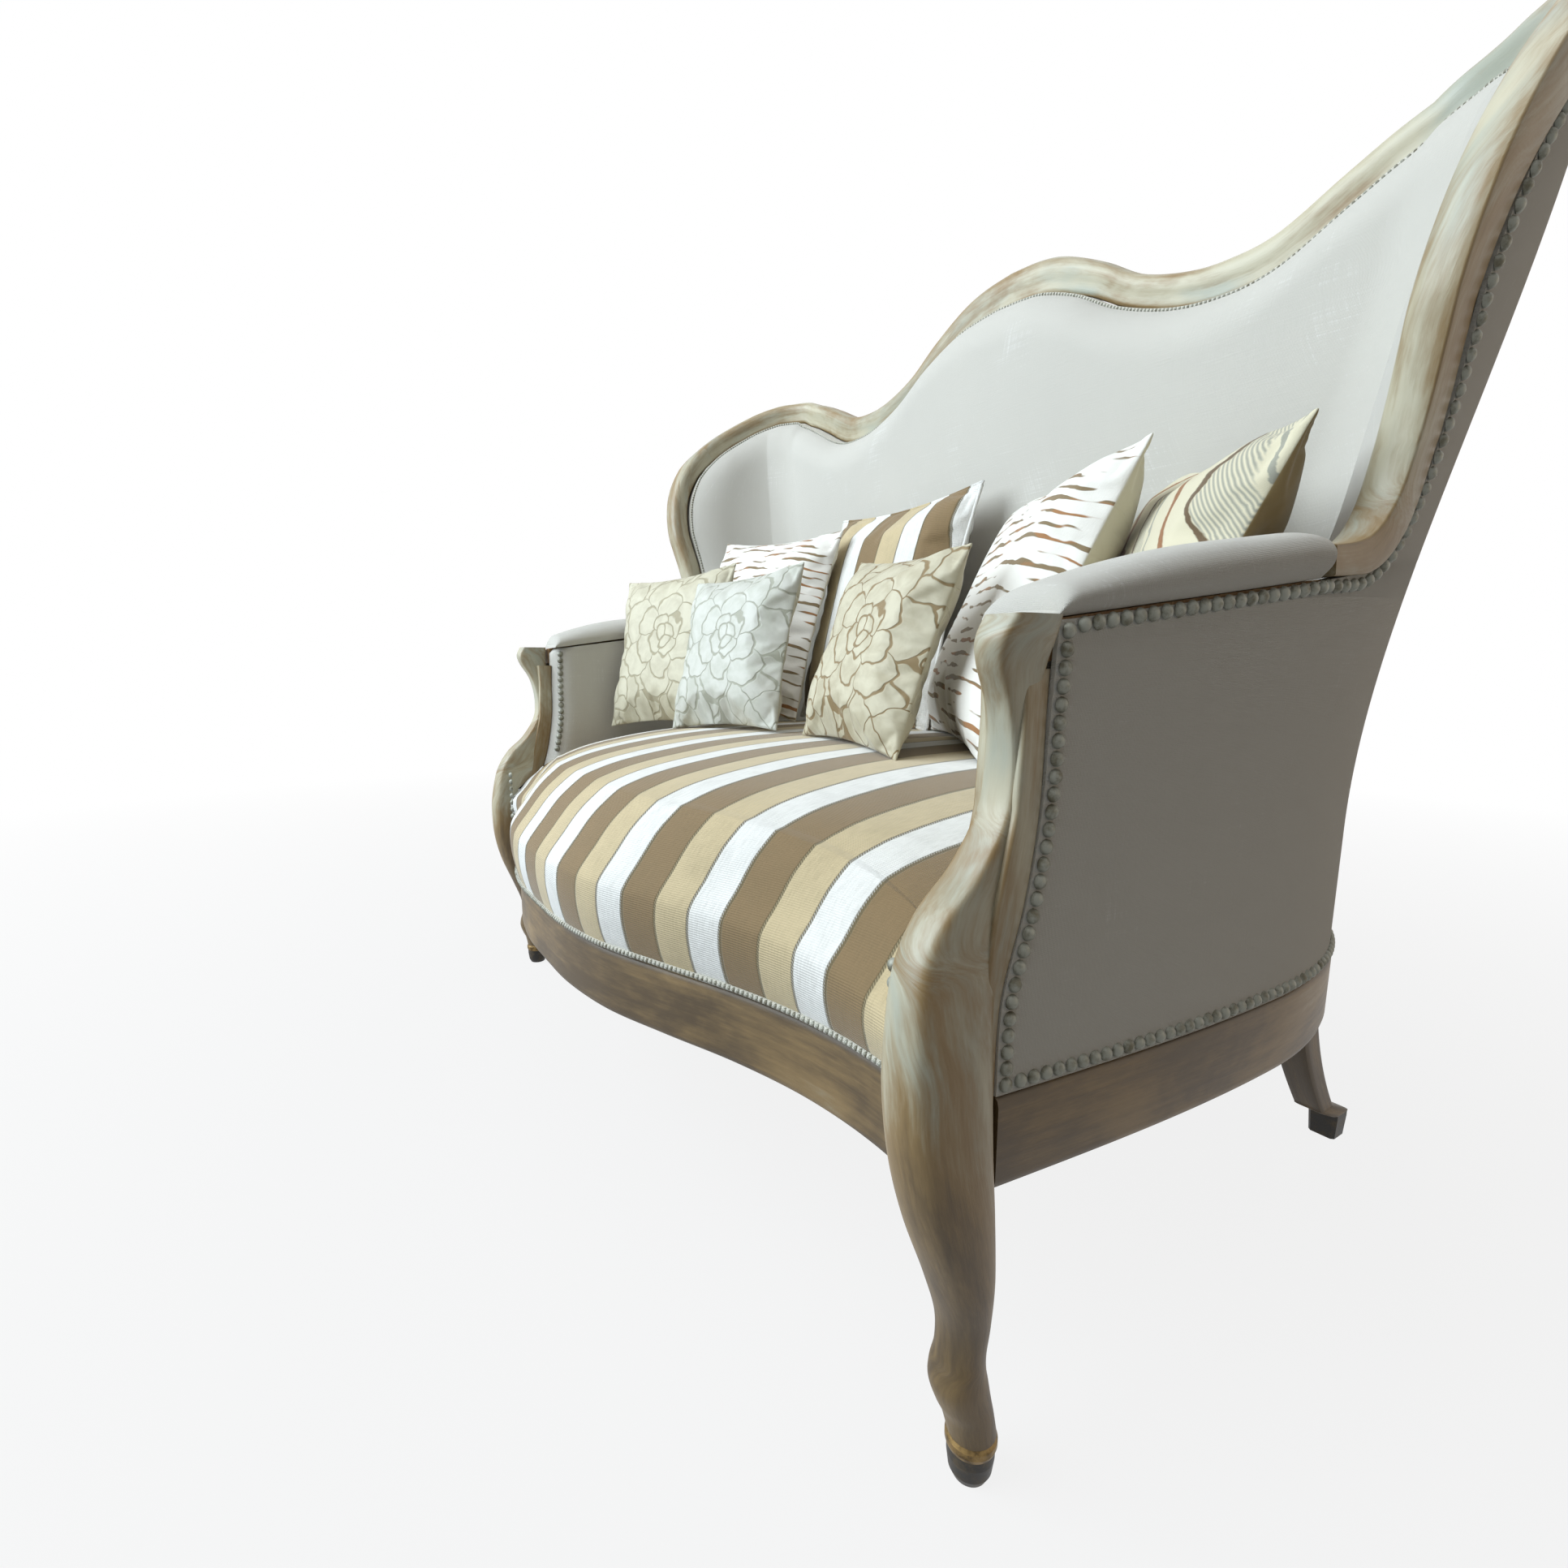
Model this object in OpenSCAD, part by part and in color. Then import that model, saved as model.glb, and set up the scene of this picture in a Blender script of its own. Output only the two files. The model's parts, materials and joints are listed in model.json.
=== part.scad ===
// Cabriole sofa with a shaped show-wood back that wraps round into the arms.
// Millimetres, +Z up, the front faces -Y, and +X is the sofa's right end seen from the front.
// The pieces of the right end are drawn, and those of the left end mirror them.

/* [Overall] */
// Height of the middle hump of the back above the floor
back_top = 1325; // [1165:5:1455]
// Height of the top of the front posts
post_top = 684; // [620:2:740]
// Height of the lower edge of the seat rails
rail_low = 248; // [215:1:285]
// Height of the seat rails
rail_h = 78; // [60:1:95]
// Thickness of the seat rails
rail_t = 46; // [38:1:54]

/* [Plan] */
// Half width over the side panels just above the rails, at their widest place
side_half = 678; // [610:2:760]
// How much wider each side is at the lobes of the back
side_flare = 120; // [80:1:140]
// How much narrower each side is at the front posts than at its widest
front_draw = 26; // [10:1:40]
// Distance from the front feet back to the outside of the back at the rail
back_line = 718; // [662:2:780]
// How far the outside of the back lies further out at its top
back_rake = 24; // [0:1:60]
// Width of the rounded rear corner
corner_w = 200; // [160:1:240]
// Depth of the rounded rear corner
corner_d = 332; // [280:1:360]
// How far the front rail bows out beyond the front feet
front_bow = 145; // [100:1:180]

/* [Show wood] */
// Depth of the moulded back frame, front to back
rim_t = 38; // [30:1:44]
// Height of the moulded back frame at its widest
rim_w = 62; // [50:1:72]
// Unit that sets the thickness of a front post and its leg
post_w = 60; // [52:1:68]
// How far the middle of a front post stands outside the side panel
post_out = 8; // [0:1:16]
// Depth of the top of a front post behind the middle of the post
post_back = 60; // [52:1:70]
// Diameter of a front toe at its ring
toe_d = 42; // [36:1:46]
// Height of a dark front toe cap
toe_cap_h = 28; // [20:1:34]
// Height of a front toe ring
toe_ring_h = 12; // [8:1:16]
// Side of a rear leg at its top
rear_leg_w = 46; // [40:1:54]
// Side of a rear leg at its cap
rear_toe_w = 36; // [30:1:40]
// Height of a dark rear toe cap
rear_cap_h = 36; // [26:1:44]
// How far a rear foot stands behind the top of its leg
rear_leg_kick = 106; // [60:1:130]
// Diameter of the dowels in the joints
dowel_d = 10; // [8:1:12]

/* [Upholstery] */
// Thickness of the outside fabric with its lining
skin_t = 4; // [3:0.5:5]
// Depth of the arms and back from outside to inside at the seat
stuffing_d = 78; // [70:1:90]
// Height of the seat at its crown
seat_top = 540; // [500:2:570]
// How far the seat falls from its crown to each end
seat_fall = 88; // [50:2:100]
// How far the front of the seat swells out beyond its rail
seat_swell = 12; // [4:1:18]
// Thickness of the foam under the striped seat
foam_h = 60; // [40:2:70]
// Height of the crowned pad on the arms
arm_pad_h = 52; // [40:1:60]
// Extra depth of the stuffing in the middle of the back
back_crown = 20; // [10:1:36]

/* [Loose pillows] */
// Side of a large loose pillow
big_pillow = 420; // [380:5:440]
// Thickness of a large loose pillow
big_pillow_t = 110; // [90:2:120]
// Side of a small loose pillow
small_pillow = 290; // [260:5:310]
// Thickness of a small loose pillow
small_pillow_t = 84; // [60:2:92]

/* [Hidden] */

// Allowances shared by all the joints
gap = 0.4;
overrun = 2;
tiny = 0.6;

// Colours as the object shows them
wood_tone = [0.70, 0.67, 0.55];
bare_tone = [0.74, 0.60, 0.42];
cap_tone = [0.13, 0.12, 0.11];
ring_tone = [0.52, 0.42, 0.26];
white_tone = [0.91, 0.90, 0.88];
stripe_tone = [0.69, 0.61, 0.45];
jute_tone = [0.66, 0.55, 0.38];
dust_tone = [0.16, 0.16, 0.17];
foam_tone = [0.93, 0.86, 0.62];

// Easing, blending and a smooth curve through hand-chosen knots
function lerp(a, b, t) = a + (b - a) * t;
function clamp01(t) = min(1, max(0, t));
function ease(t) = let (c = clamp01(t)) c * c * (3 - 2 * c);
function unit(v) = v / norm(v);
function steps(a, b, n) = [for (i = [0 : n]) lerp(a, b, i / n)];
function knot(list, i) = list[min(len(list) - 1, max(0, i))];
function curve(list, t) =
    let (n = len(list) - 1, s = clamp01(t) * n, i = min(n - 1, floor(s)), f = s - i,
         a = knot(list, i - 1), b = knot(list, i), c = knot(list, i + 1), d = knot(list, i + 2))
    (2 * b + (c - a) * f + (2 * a - 5 * b + 4 * c - d) * f * f + (3 * b - a - 3 * c + d) * f * f * f) / 2;

// The height at which a list of [value, height] knots is crossed, and the value there
function segment(list, z, i) = i >= len(list) - 2 || list[i + 1].y >= z ? i : segment(list, z, i + 1);
function value_at(list, z) =
    let (i = segment(list, z, 0), a = list[i], b = list[i + 1])
    lerp(a.x, b.x, clamp01((z - a.y) / (b.y - a.y)));

// Heights that several pieces share
rail_top = rail_low + rail_h;
web_t = 2;
hessian_t = 1.5;
seat_base = rail_top + 2 * web_t + hessian_t + 4 * gap;
arm_front_drop = 2;
arm_front_z = post_top - arm_front_drop;
rim_clear = 1.4;
quarter = 90;

// Back of the front posts, where the side panels end: it is thin at the rail and widens
// in an S to the top, with its knots on the rows that the panels have
side_low_rows = 5;
low_rows = [for (i = [0 : side_low_rows]) lerp(seat_base, arm_front_z - rim_clear, i / side_low_rows)];
post_back_shares = [0.27, 0.32, 0.66, 0.86, 0.90, 0.94];
post_back_knots = [for (i = [0 : side_low_rows]) [post_back * post_back_shares[i], low_rows[i]]];
function post_back_at(z) = value_at(post_back_knots, z);

// The outside of the sofa in plan: station 0 is the middle of the back, 1 and 2 are the
// ends of the rounded corner and 3 is the front post, and d is the depth inside it
front_half = side_half - front_draw;
foot_x = front_half + post_out;
flare_from_share = 0.355;
flare_to_share = 0.972;
post_flare_share = 0.16;
corner_tuck_share = 0.3;
function flare_at(z) =
    side_flare * ease((z / back_top - flare_from_share) / (flare_to_share - flare_from_share));
function half_at(z) = side_half + flare_at(z);
function front_half_at(z) = front_half + flare_at(z) * post_flare_share;
function back_at(z) = back_line + back_rake * (z - rail_low) / (back_top - rail_low);
function corner_d_at(z) = corner_d - flare_at(z) * corner_tuck_share;
function plan(k, z, d) =
    let (a = half_at(z) - d, b = back_at(z) - d, rx = corner_w - d, ry = corner_d_at(z) - d,
         cx = a - rx, cy = b - ry, t = (k - 1) * quarter, s = k - 2)
    k <= 1 ? [k * cx, b]
    : k <= 2 ? [cx + rx * sin(t), cy + ry * cos(t)]
    : [lerp(a, front_half_at(z) - d, 1 - cos(quarter * s)), lerp(cy, post_back_at(z) + gap, s)];
function at(k, z, d) = let (p = plan(abs(k), z, d)) [k < 0 ? -p.x : p.x, p.y, z];
function inward(k, z) = unit(at(k, z, rim_t) - at(k, z, 0));
function station(p) =
    let (cx = half_at(p.z) - corner_w, ry = corner_d_at(p.z), cy = back_at(p.z) - ry)
    p.x <= cx ? p.x / cx
    : p.y >= cy ? 1 + atan2((p.x - cx) / corner_w, (p.y - cy) / ry) / quarter
    : 2 + (cy - p.y) / (cy - post_back_at(p.z));

// The origin stands under the middle of the depth, between the bow of the front rail
// and the heel of the rear caps
rear_leg_station = 1.33;
rear_leg_inset = 10;
rear_leg_x = plan(rear_leg_station, rail_low, rear_leg_inset).x;
rear_leg_y = plan(rear_leg_station, rail_low, rear_leg_inset).y;
rear_splay_share = 0.15;
rear_foot_x = rear_leg_x + rear_leg_kick * rear_splay_share;
rear_foot_y = rear_leg_y + rear_leg_kick;
rear_reach = rear_foot_y + rear_toe_w / 2;
mid_y = (rear_reach - front_bow - seat_swell) / 2;

module placed() {
    translate([0, -mid_y, 0]) children();
}

module mirrored() {
    placed() mirror([1, 0, 0]) children();
}

// Closed solids: a loft through rings of points, and a slab between two facing grids
function total(list, i) = i == 0 ? list[0] : list[i] + total(list, i - 1);
function centre(r) = total(r, len(r) - 1) / len(r);
function facing(r) =
    let (m = len(r), c = [for (j = [1 : m - 2]) cross(r[j] - r[0], r[j + 1] - r[0])]) total(c, m - 3);
function reversed(r) = [for (j = [len(r) - 1 : -1 : 0]) r[j]];

module loft(given) {
    ahead = facing(given[0]) * (centre(given[1]) - centre(given[0])) < 0;
    rings = ahead ? given : [for (r = given) reversed(r)];
    n = len(rings);
    m = len(rings[0]);
    sides = [for (i = [0 : n - 2]) for (j = [0 : m - 1])
        let (a = i * m + j, b = i * m + (j + 1) % m)
        each [[a, b, b + m], [a, b + m, a + m]]];
    ends = [for (j = [1 : m - 2]) each [[0, j + 1, j], [(n - 1) * m, (n - 1) * m + j, (n - 1) * m + j + 1]]];
    polyhedron([for (r = rings) each r], concat(sides, ends));
}

module slab(one, other) {
    i = floor(len(one) / 2);
    j = floor(len(one[0]) / 2);
    side = cross(one[i][j] - one[i][j - 1], one[i][j] - one[i - 1][j]) * (one[i][j] - other[i][j]);
    upper = side < 0 ? one : other;
    lower = side < 0 ? other : one;
    n = len(upper);
    m = len(upper[0]);
    half = n * m;
    top = [for (i = [0 : n - 2]) for (j = [0 : m - 2])
        let (a = i * m + j) each [[a, a + 1, a + m + 1], [a, a + m + 1, a + m]]];
    under = [for (f = top) [f[0] + half, f[2] + half, f[1] + half]];
    border = concat([for (j = [0 : m - 2]) j], [for (i = [0 : n - 2]) i * m + m - 1],
        [for (j = [m - 1 : -1 : 1]) (n - 1) * m + j], [for (i = [n - 1 : -1 : 1]) i * m]);
    walls = [for (i = [0 : len(border) - 1])
        let (p = border[i], q = border[(i + 1) % len(border)])
        each [[p, p + half, q + half], [p, q + half, q]]];
    polyhedron(concat([for (r = upper) each r], [for (r = lower) each r]), concat(top, under, walls));
}

// Moulded frame of the back: the outer edge runs from the middle of the hump over the
// dip and round the lobe, then down to the arm and forward on it. The knots give the
// station, and the height as a share of the way from the front posts to the hump
rim_shares = [[0, 1], [0.10, 0.992], [0.19, 0.969], [0.31, 0.911], [0.425, 0.843], [0.55, 0.804],
    [0.65, 0.794], [0.75, 0.804], [0.87, 0.857], [0.97, 0.897], [1.09, 0.924], [1.25, 0.931],
    [1.40, 0.925], [1.58, 0.889], [1.79, 0.812], [1.94, 0.727], [2.035, 0.642], [2.085, 0.565],
    [2.10, 0.488], [2.09, 0.417], [2.06, 0.358], [2.025, 0.296], [2.00, 0.240], [1.99, 0.185],
    [2.005, 0.145], [2.05, 0.119], [2.12, 0.107], [2.20, 0.101]];
rim_width_shares = [1, 0.98, 0.90, 0.78, 0.74, 0.80, 0.86, 0.88, 0.84, 0.80, 0.78, 0.77, 0.77, 0.74,
    0.70, 0.68, 0.67, 0.66, 0.66, 0.66, 0.66, 0.66, 0.64, 0.62, 0.58, 0.52, 0.45, 0.42];
rim_joint_share = 0.54;
rim_steps = 54;
rim_probe_share = 0.004;

// Section of the frame in shares of its depth and width: a flat back, an outer edge
// rolled into a raised ridge, and a fall to the upholstery
rim_section_shares = [[0, 0.06], [0.06, 0], [0.52, 0], [0.82, 0.07], [0.98, 0.22], [1, 0.40],
    [0.93, 0.66], [0.84, 0.92], [0.78, 1], [0.06, 1], [0, 0.94]];
rim_inner_share = 0.78;

function rim_z(share) = lerp(post_top, back_top, share);
function rim_at(t) = let (s = curve(rim_shares, t)) at(s.x, rim_z(s.y), 0);
function rim_width(t) = rim_w * curve(rim_width_shares, t);
function rim_along(t) =
    unit(rim_at(clamp01(t + rim_probe_share)) - (t > 0 ? rim_at(clamp01(t - rim_probe_share)) : rim_at(0)));
function rim_in(t) = let (s = curve(rim_shares, t)) inward(s.x, rim_z(s.y));
function rim_down(t) = t == 0 ? [0, 0, -1] : unit(cross(rim_along(t), rim_in(t)));
function rim_ring(t) =
    let (p = rim_at(t), n = rim_in(t), d = rim_down(t), w = rim_width(t))
    [for (s = rim_section_shares) p + n * s.x * rim_t + d * s.y * w];

module crest_rail() {
    color(wood_tone) placed() {
        right = [for (t = steps(0, rim_joint_share, round(rim_steps * rim_joint_share))) rim_ring(t)];
        left = [for (i = [len(right) - 1 : -1 : 1]) [for (p = right[i]) [-p.x, p.y, p.z]]];
        loft(concat(left, right));
    }
}

rim_gap_share = 0.0002;
module stile() {
    loft([for (t = steps(rim_joint_share + rim_gap_share, 1, round(rim_steps * (1 - rim_joint_share)))) rim_ring(t)]);
}

module right_stile() {
    color(wood_tone) placed() stile();
}

module left_stile() {
    color(wood_tone) mirrored() stile();
}

// The inner edge of the frame, where the upholstery stops
rim_edge = [for (i = [0 : rim_steps])
    let (t = i / rim_steps, p = rim_at(t) + rim_down(t) * (rim_width(t) + rim_clear)) [station(p), p.z]];
function edge_index(k, i) = i >= rim_steps - 1 || rim_edge[i + 1].x >= k ? i : edge_index(k, i + 1);
function edge_height(k) =
    let (q = abs(k), i = edge_index(q, 0), a = rim_edge[i], b = rim_edge[i + 1])
    lerp(a.y, b.y, clamp01((q - a.x) / (b.x - a.x)));

// Seat rails: a serpentine front and rails that follow the plan at the sides and back
bow_shares = [1, 0.985, 0.88, 0.66, 0.42, 0.25, 0.19, 0.24];
function bow_at(x) = -front_bow * curve(bow_shares, abs(x) / foot_x);
rail_section_shares = [[0, 0.10], [0.08, 0.02], [0.22, 0], [1, 0], [1, 1], [0.08, 1], [0, 0.92]];
rail_proud = 3;
rail_steps = 11;
corner_joint = 1.22;
post_inner_share = 0.88;
post_inner = foot_x - post_w * post_inner_share;

module front_apron() {
    color(wood_tone) placed() difference() {
        loft([for (x = steps(-post_inner + gap, post_inner - gap, 2 * rail_steps))
            [for (s = rail_section_shares) [x, bow_at(x) + s.x * rail_t, rail_low + s.y * rail_h]]]);
        apron_dowel_holes();
        mirror([1, 0, 0]) apron_dowel_holes();
    }
}

function rail_ring(k) =
    [for (s = rail_section_shares) at(k, rail_low + s.y * rail_h, s.x * rail_t - rail_proud)];

module side_rail() {
    difference() {
        loft([for (k = steps(corner_joint, 3, rail_steps)) rail_ring(k)]);
        side_dowel_holes();
        leg_dowel_holes();
    }
}

module right_side_rail() {
    color(wood_tone) placed() side_rail();
}

module left_side_rail() {
    color(wood_tone) mirrored() side_rail();
}

back_rail_end = corner_joint - 0.001;
module back_rail() {
    color(bare_tone) placed()
        loft([for (k = steps(-back_rail_end, back_rail_end, 2 * rail_steps)) rail_ring(k)]);
}

// Dowels: in pairs, across the joints of the front posts, and upright in the rear legs
dowel_l = 36;
dowel_spread = 36;
dowel_clear = 0.1;
leg_dowel_turn = 0.045;
apron_dowel_y = bow_at(post_inner) + rail_t / 2;
side_dowel_x = front_half + rail_proud - rail_t / 2;
dowel_heights = [for (s = [-1, 1]) rail_low + rail_h / 2 + s * dowel_spread / 2];
leg_dowel_spots = [for (s = [-1, 1])
    plan(rear_leg_station + s * leg_dowel_turn, rail_low, rail_t / 2 - rail_proud)];

module apron_dowel_pair(r, l) {
    for (z = dowel_heights)
        translate([post_inner, apron_dowel_y, z])
            rotate([0, 90, 0]) cylinder(r = r, h = l, center = true, $fn = 24);
}

module side_dowel_pair(r, l) {
    for (z = dowel_heights)
        translate([side_dowel_x, post_back_at(z), z])
            rotate([90, 0, 0]) cylinder(r = r, h = l, center = true, $fn = 24);
}

module leg_dowel_pair(r, l) {
    for (p = leg_dowel_spots)
        translate([p.x, p.y, rail_low]) cylinder(r = r, h = l, center = true, $fn = 24);
}

module apron_dowel_holes() {
    apron_dowel_pair(dowel_d / 2 + dowel_clear, dowel_l + 2 * dowel_clear);
}

module side_dowel_holes() {
    side_dowel_pair(dowel_d / 2 + dowel_clear, dowel_l + 2 * dowel_clear);
}

module leg_dowel_holes() {
    leg_dowel_pair(dowel_d / 2 + dowel_clear, dowel_l + 2 * dowel_clear);
}

module apron_dowels() {
    color(bare_tone) placed() {
        apron_dowel_pair(dowel_d / 2, dowel_l);
        mirror([1, 0, 0]) apron_dowel_pair(dowel_d / 2, dowel_l);
    }
}

module side_rail_dowels() {
    color(bare_tone) placed() {
        side_dowel_pair(dowel_d / 2, dowel_l);
        mirror([1, 0, 0]) side_dowel_pair(dowel_d / 2, dowel_l);
    }
}

module rear_leg_dowels() {
    color(bare_tone) placed() {
        leg_dowel_pair(dowel_d / 2, dowel_l);
        mirror([1, 0, 0]) leg_dowel_pair(dowel_d / 2, dowel_l);
    }
}

// Front posts, each cut with its cabriole leg from one piece of wood. The knots give the
// height as a share of the post, then the wood's front, back, inside and outside in
// shares of post_w from the middle of the foot
toe_top_share = (toe_cap_h + toe_ring_h) / post_top;
post_height_shares = [toe_top_share, 0.085, 0.105, 0.128, 0.148, 0.172, 0.212, 0.273, 0.351, 0.424,
    0.497, 0.556, 0.632, 0.686, 0.731, 0.789, 0.848, 0.906, 0.950, 0.976, 1];
post_front_shares = [-0.20, -0.26, -0.36, -0.44, -0.42, -0.34, -0.36, -0.60, -0.94, -1.14,
    -1.20, -1.16, -0.98, -0.62, -0.06, 0.36, 0.42, 0.28, 0.00, -0.07, 0.06];
post_rear_shares = [0.46, 0.42, 0.38, 0.34, 0.30, 0.28, 0.28, 0.26, 0.22, 0.20,
    0.22, 0.25, 0.39, 0.56, 0.70, 0.80, 0.82, 0.84, 0.86, 0.88, 0.90];
post_inner_shares = [-0.50, -0.58, -0.62, -0.66, -0.66, -0.64, -0.66, -0.72, -0.80, -0.85,
    -0.88, -0.88, -0.90, -0.88, -0.85, -0.80, -0.74, -0.65, -0.58, -0.56, -0.54];
post_outer_shares = [0.16, 0.14, 0.12, 0.10, 0.08, 0.08, 0.14, 0.24, 0.26, 0.20,
    0.10, 0.00, -0.14, -0.20, -0.22, -0.22, -0.21, -0.18, -0.08, 0.03, 0.10];
post_ridge_shares = [0, 0.01, 0.02, 0.03, 0.03, 0.03, 0.04, 0.06, 0.07, 0.07,
    0.07, 0.07, 0.06, 0.04, 0.03, 0.02, 0.02, 0.02, 0.02, 0.02, 0.02];
post_square_shares = [0, 0.10, 0.25, 0.30, 0.25, 0.20, 0.25, 0.30, 0.40, 0.50,
    0.60, 0.66, 0.74, 0.80, 0.84, 0.86, 0.86, 0.86, 0.84, 0.82, 0.80];
post_rings = 24;
post_sides = 16;
toe_x_share = -0.167;
toe_y_share = 0.125;
ridge_turn = 45;
ridge_power = 6;

// A ring between a circle and a square, drawn out to a ridge at the outer front corner
function post_ring(t) =
    let (y0 = curve(post_front_shares, t) * post_w, y1 = curve(post_rear_shares, t) * post_w,
         x0 = curve(post_inner_shares, t) * post_w, x1 = curve(post_outer_shares, t) * post_w,
         q = clamp01(curve(post_square_shares, t)), ridge = curve(post_ridge_shares, t))
    [for (j = [0 : post_sides - 1])
        let (a = j * 360 / post_sides, c = cos(a), s = sin(a),
             f = lerp(1, 1 / max(abs(c), abs(s)), q * q),
             g = f + ridge * pow(max(0, cos(a + ridge_turn)), ridge_power))
        [foot_x + (x0 + x1) / 2 + (x1 - x0) / 2 * c * g, (y0 + y1) / 2 + (y1 - y0) / 2 * s * g,
         curve(post_height_shares, t) * post_top]];

// The square part behind the knee, which the rails and the upholstery meet
post_block_shares = [-0.20, 0, 0.16, 0.44, 0.50, 0.46];
post_block_top = post_top * 0.945;
function post_block_ring(z, front) =
    let (y0 = post_w * front, y1 = post_back_at(z), x1 = front_half - gap)
    [[post_inner, y0, z], [x1, y0, z], [x1, y1, z], [post_inner, y1, z]];

module post_block() {
    loft(concat([post_block_ring(rail_low, post_block_shares[0])],
        [for (i = [0 : side_low_rows]) post_block_ring(min(low_rows[i], post_block_top), post_block_shares[i])]));
}

module front_post() {
    difference() {
        union() {
            loft([for (t = steps(0, 1, post_rings)) post_ring(t)]);
            post_block();
        }
        apron_dowel_holes();
        side_dowel_holes();
    }
}

module right_front_post() {
    color(wood_tone) placed() front_post();
}

module left_front_post() {
    color(wood_tone) mirrored() front_post();
}

// Toe caps and rings are turned, as shares of the toe's diameter and of their height
toe_cap_shares = [[0, 0], [0.34, 0], [0.42, 0.25], [0.46, 0.70], [0.46, 1], [0, 1]];
toe_ring_shares = [[0, 0], [0.47, 0], [0.50, 0.30], [0.50, 0.70], [0.45, 1], [0, 1]];
module turned(shares, z, h) {
    translate([foot_x + post_w * toe_x_share, post_w * toe_y_share, z])
        rotate_extrude($fn = 40) polygon([for (s = shares) [s.x * toe_d, s.y * h]]);
}

module right_front_cap() {
    color(cap_tone) placed() turned(toe_cap_shares, 0, toe_cap_h);
}

module left_front_cap() {
    color(cap_tone) mirrored() turned(toe_cap_shares, 0, toe_cap_h);
}

module right_front_ring() {
    color(ring_tone) placed() turned(toe_ring_shares, toe_cap_h, toe_ring_h);
}

module left_front_ring() {
    color(ring_tone) mirrored() turned(toe_ring_shares, toe_cap_h, toe_ring_h);
}

// Rear legs: square sabre legs that sweep back, with a moulded collar over a dark cap
leg_steps = 12;
leg_chamfer_share = 0.12;
function square_ring(x, y, z, w) =
    let (h = w / 2, c = w * leg_chamfer_share)
    [for (p = [[h, c - h], [h, h - c], [h - c, h], [c - h, h], [-h, h - c], [-h, c - h], [c - h, -h], [h - c, -h]])
        [x + p.x, y + p.y, z]];
leg_sweep_power = 1.7;
function leg_sweep(z) = pow(clamp01(1 - z / rail_low), leg_sweep_power);
function leg_x(z) = lerp(rear_leg_x, rear_foot_x, leg_sweep(z));
function leg_y(z) = lerp(rear_leg_y, rear_foot_y, leg_sweep(z));
rear_collar_h = 14;
rear_collar_out = 3;

module rear_leg() {
    difference() {
        loft(concat(
            [for (s = [[0, 0], [0.15, 1], [0.75, 1], [1, 0]])
                let (z = rear_cap_h + s.x * rear_collar_h)
                square_ring(lerp(rear_foot_x, leg_x(rear_cap_h + rear_collar_h), s.x),
                    lerp(rear_foot_y, leg_y(rear_cap_h + rear_collar_h), s.x), z,
                    rear_toe_w + 2 * rear_collar_out * s.y)],
            [for (z = steps(rear_cap_h + rear_collar_h * 1.1, rail_low, leg_steps))
                square_ring(leg_x(z), leg_y(z), z,
                    lerp(rear_toe_w, rear_leg_w, ease((z - rear_cap_h) / (rail_low - rear_cap_h))))]));
        leg_dowel_holes();
    }
}

module right_rear_leg() {
    color(wood_tone) placed() rear_leg();
}

module left_rear_leg() {
    color(wood_tone) mirrored() rear_leg();
}

rear_cap_taper = 0.9;
module rear_cap() {
    loft([square_ring(rear_foot_x, rear_foot_y, 0, rear_toe_w * rear_cap_taper),
        square_ring(rear_foot_x, rear_foot_y, rear_cap_h * 0.8, rear_toe_w),
        square_ring(rear_foot_x, rear_foot_y, rear_cap_h, rear_toe_w)]);
}

module right_rear_cap() {
    color(cap_tone) placed() rear_cap();
}

module left_rear_cap() {
    color(cap_tone) mirrored() rear_cap();
}

// Glued corner blocks inside the seat rails
block_h = rail_h * 0.7;
block_side = 70;
module front_block() {
    x = post_inner - gap;
    y = rail_t + gap + max([for (s = steps(x - block_side, x, rail_steps)) bow_at(s)]);
    translate([x, y, rail_top - block_h])
        linear_extrude(block_h) polygon([[0, 0], [0, block_side], [-block_side, 0]]);
}

module right_front_block() {
    color(bare_tone) placed() front_block();
}

module left_front_block() {
    color(bare_tone) mirrored() front_block();
}

rear_block_stations = [rear_leg_station - 0.16, rear_leg_station + 0.16];
rear_block_d = rail_t - rail_proud + 5 * gap;
module rear_block() {
    edge = [for (k = steps(rear_block_stations[0], rear_block_stations[1], 4)) plan(k, rail_low, rear_block_d)];
    translate([0, 0, rail_top - block_h]) linear_extrude(block_h)
        polygon(concat(edge, [plan(rear_leg_station, rail_low, rear_block_d + block_side)]));
}

module right_rear_block() {
    color(bare_tone) placed() rear_block();
}

module left_rear_block() {
    color(bare_tone) mirrored() rear_block();
}

// Upright members of the carcass, which stand on the rails inside the upholstery
upright_d = skin_t + 8 * gap;
upright_t = 18;
upright_half_share = 0.035;
function upright_ring(k, z) =
    [at(k - upright_half_share, z, upright_d), at(k - upright_half_share, z, upright_d + upright_t),
     at(k + upright_half_share, z, upright_d + upright_t), at(k + upright_half_share, z, upright_d)];

module upright(k, top) {
    loft([for (z = steps(rail_top + gap, top - gap, 10)) upright_ring(k, z)]);
}

function frame_over(k) = min([for (s = [-2 : 2]) edge_height(k + s * upright_half_share / 2)]);

back_upright_station = 0.62;
wing_upright_station = 1.66;
stump_station = 2.56;

module centre_back_upright() {
    color(bare_tone) placed() upright(0, frame_over(0));
}

module right_back_upright() {
    color(bare_tone) placed() upright(back_upright_station, frame_over(back_upright_station));
}

module left_back_upright() {
    color(bare_tone) mirrored() upright(back_upright_station, frame_over(back_upright_station));
}

module right_wing_upright() {
    color(bare_tone) placed() upright(wing_upright_station, frame_over(wing_upright_station));
}

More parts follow.
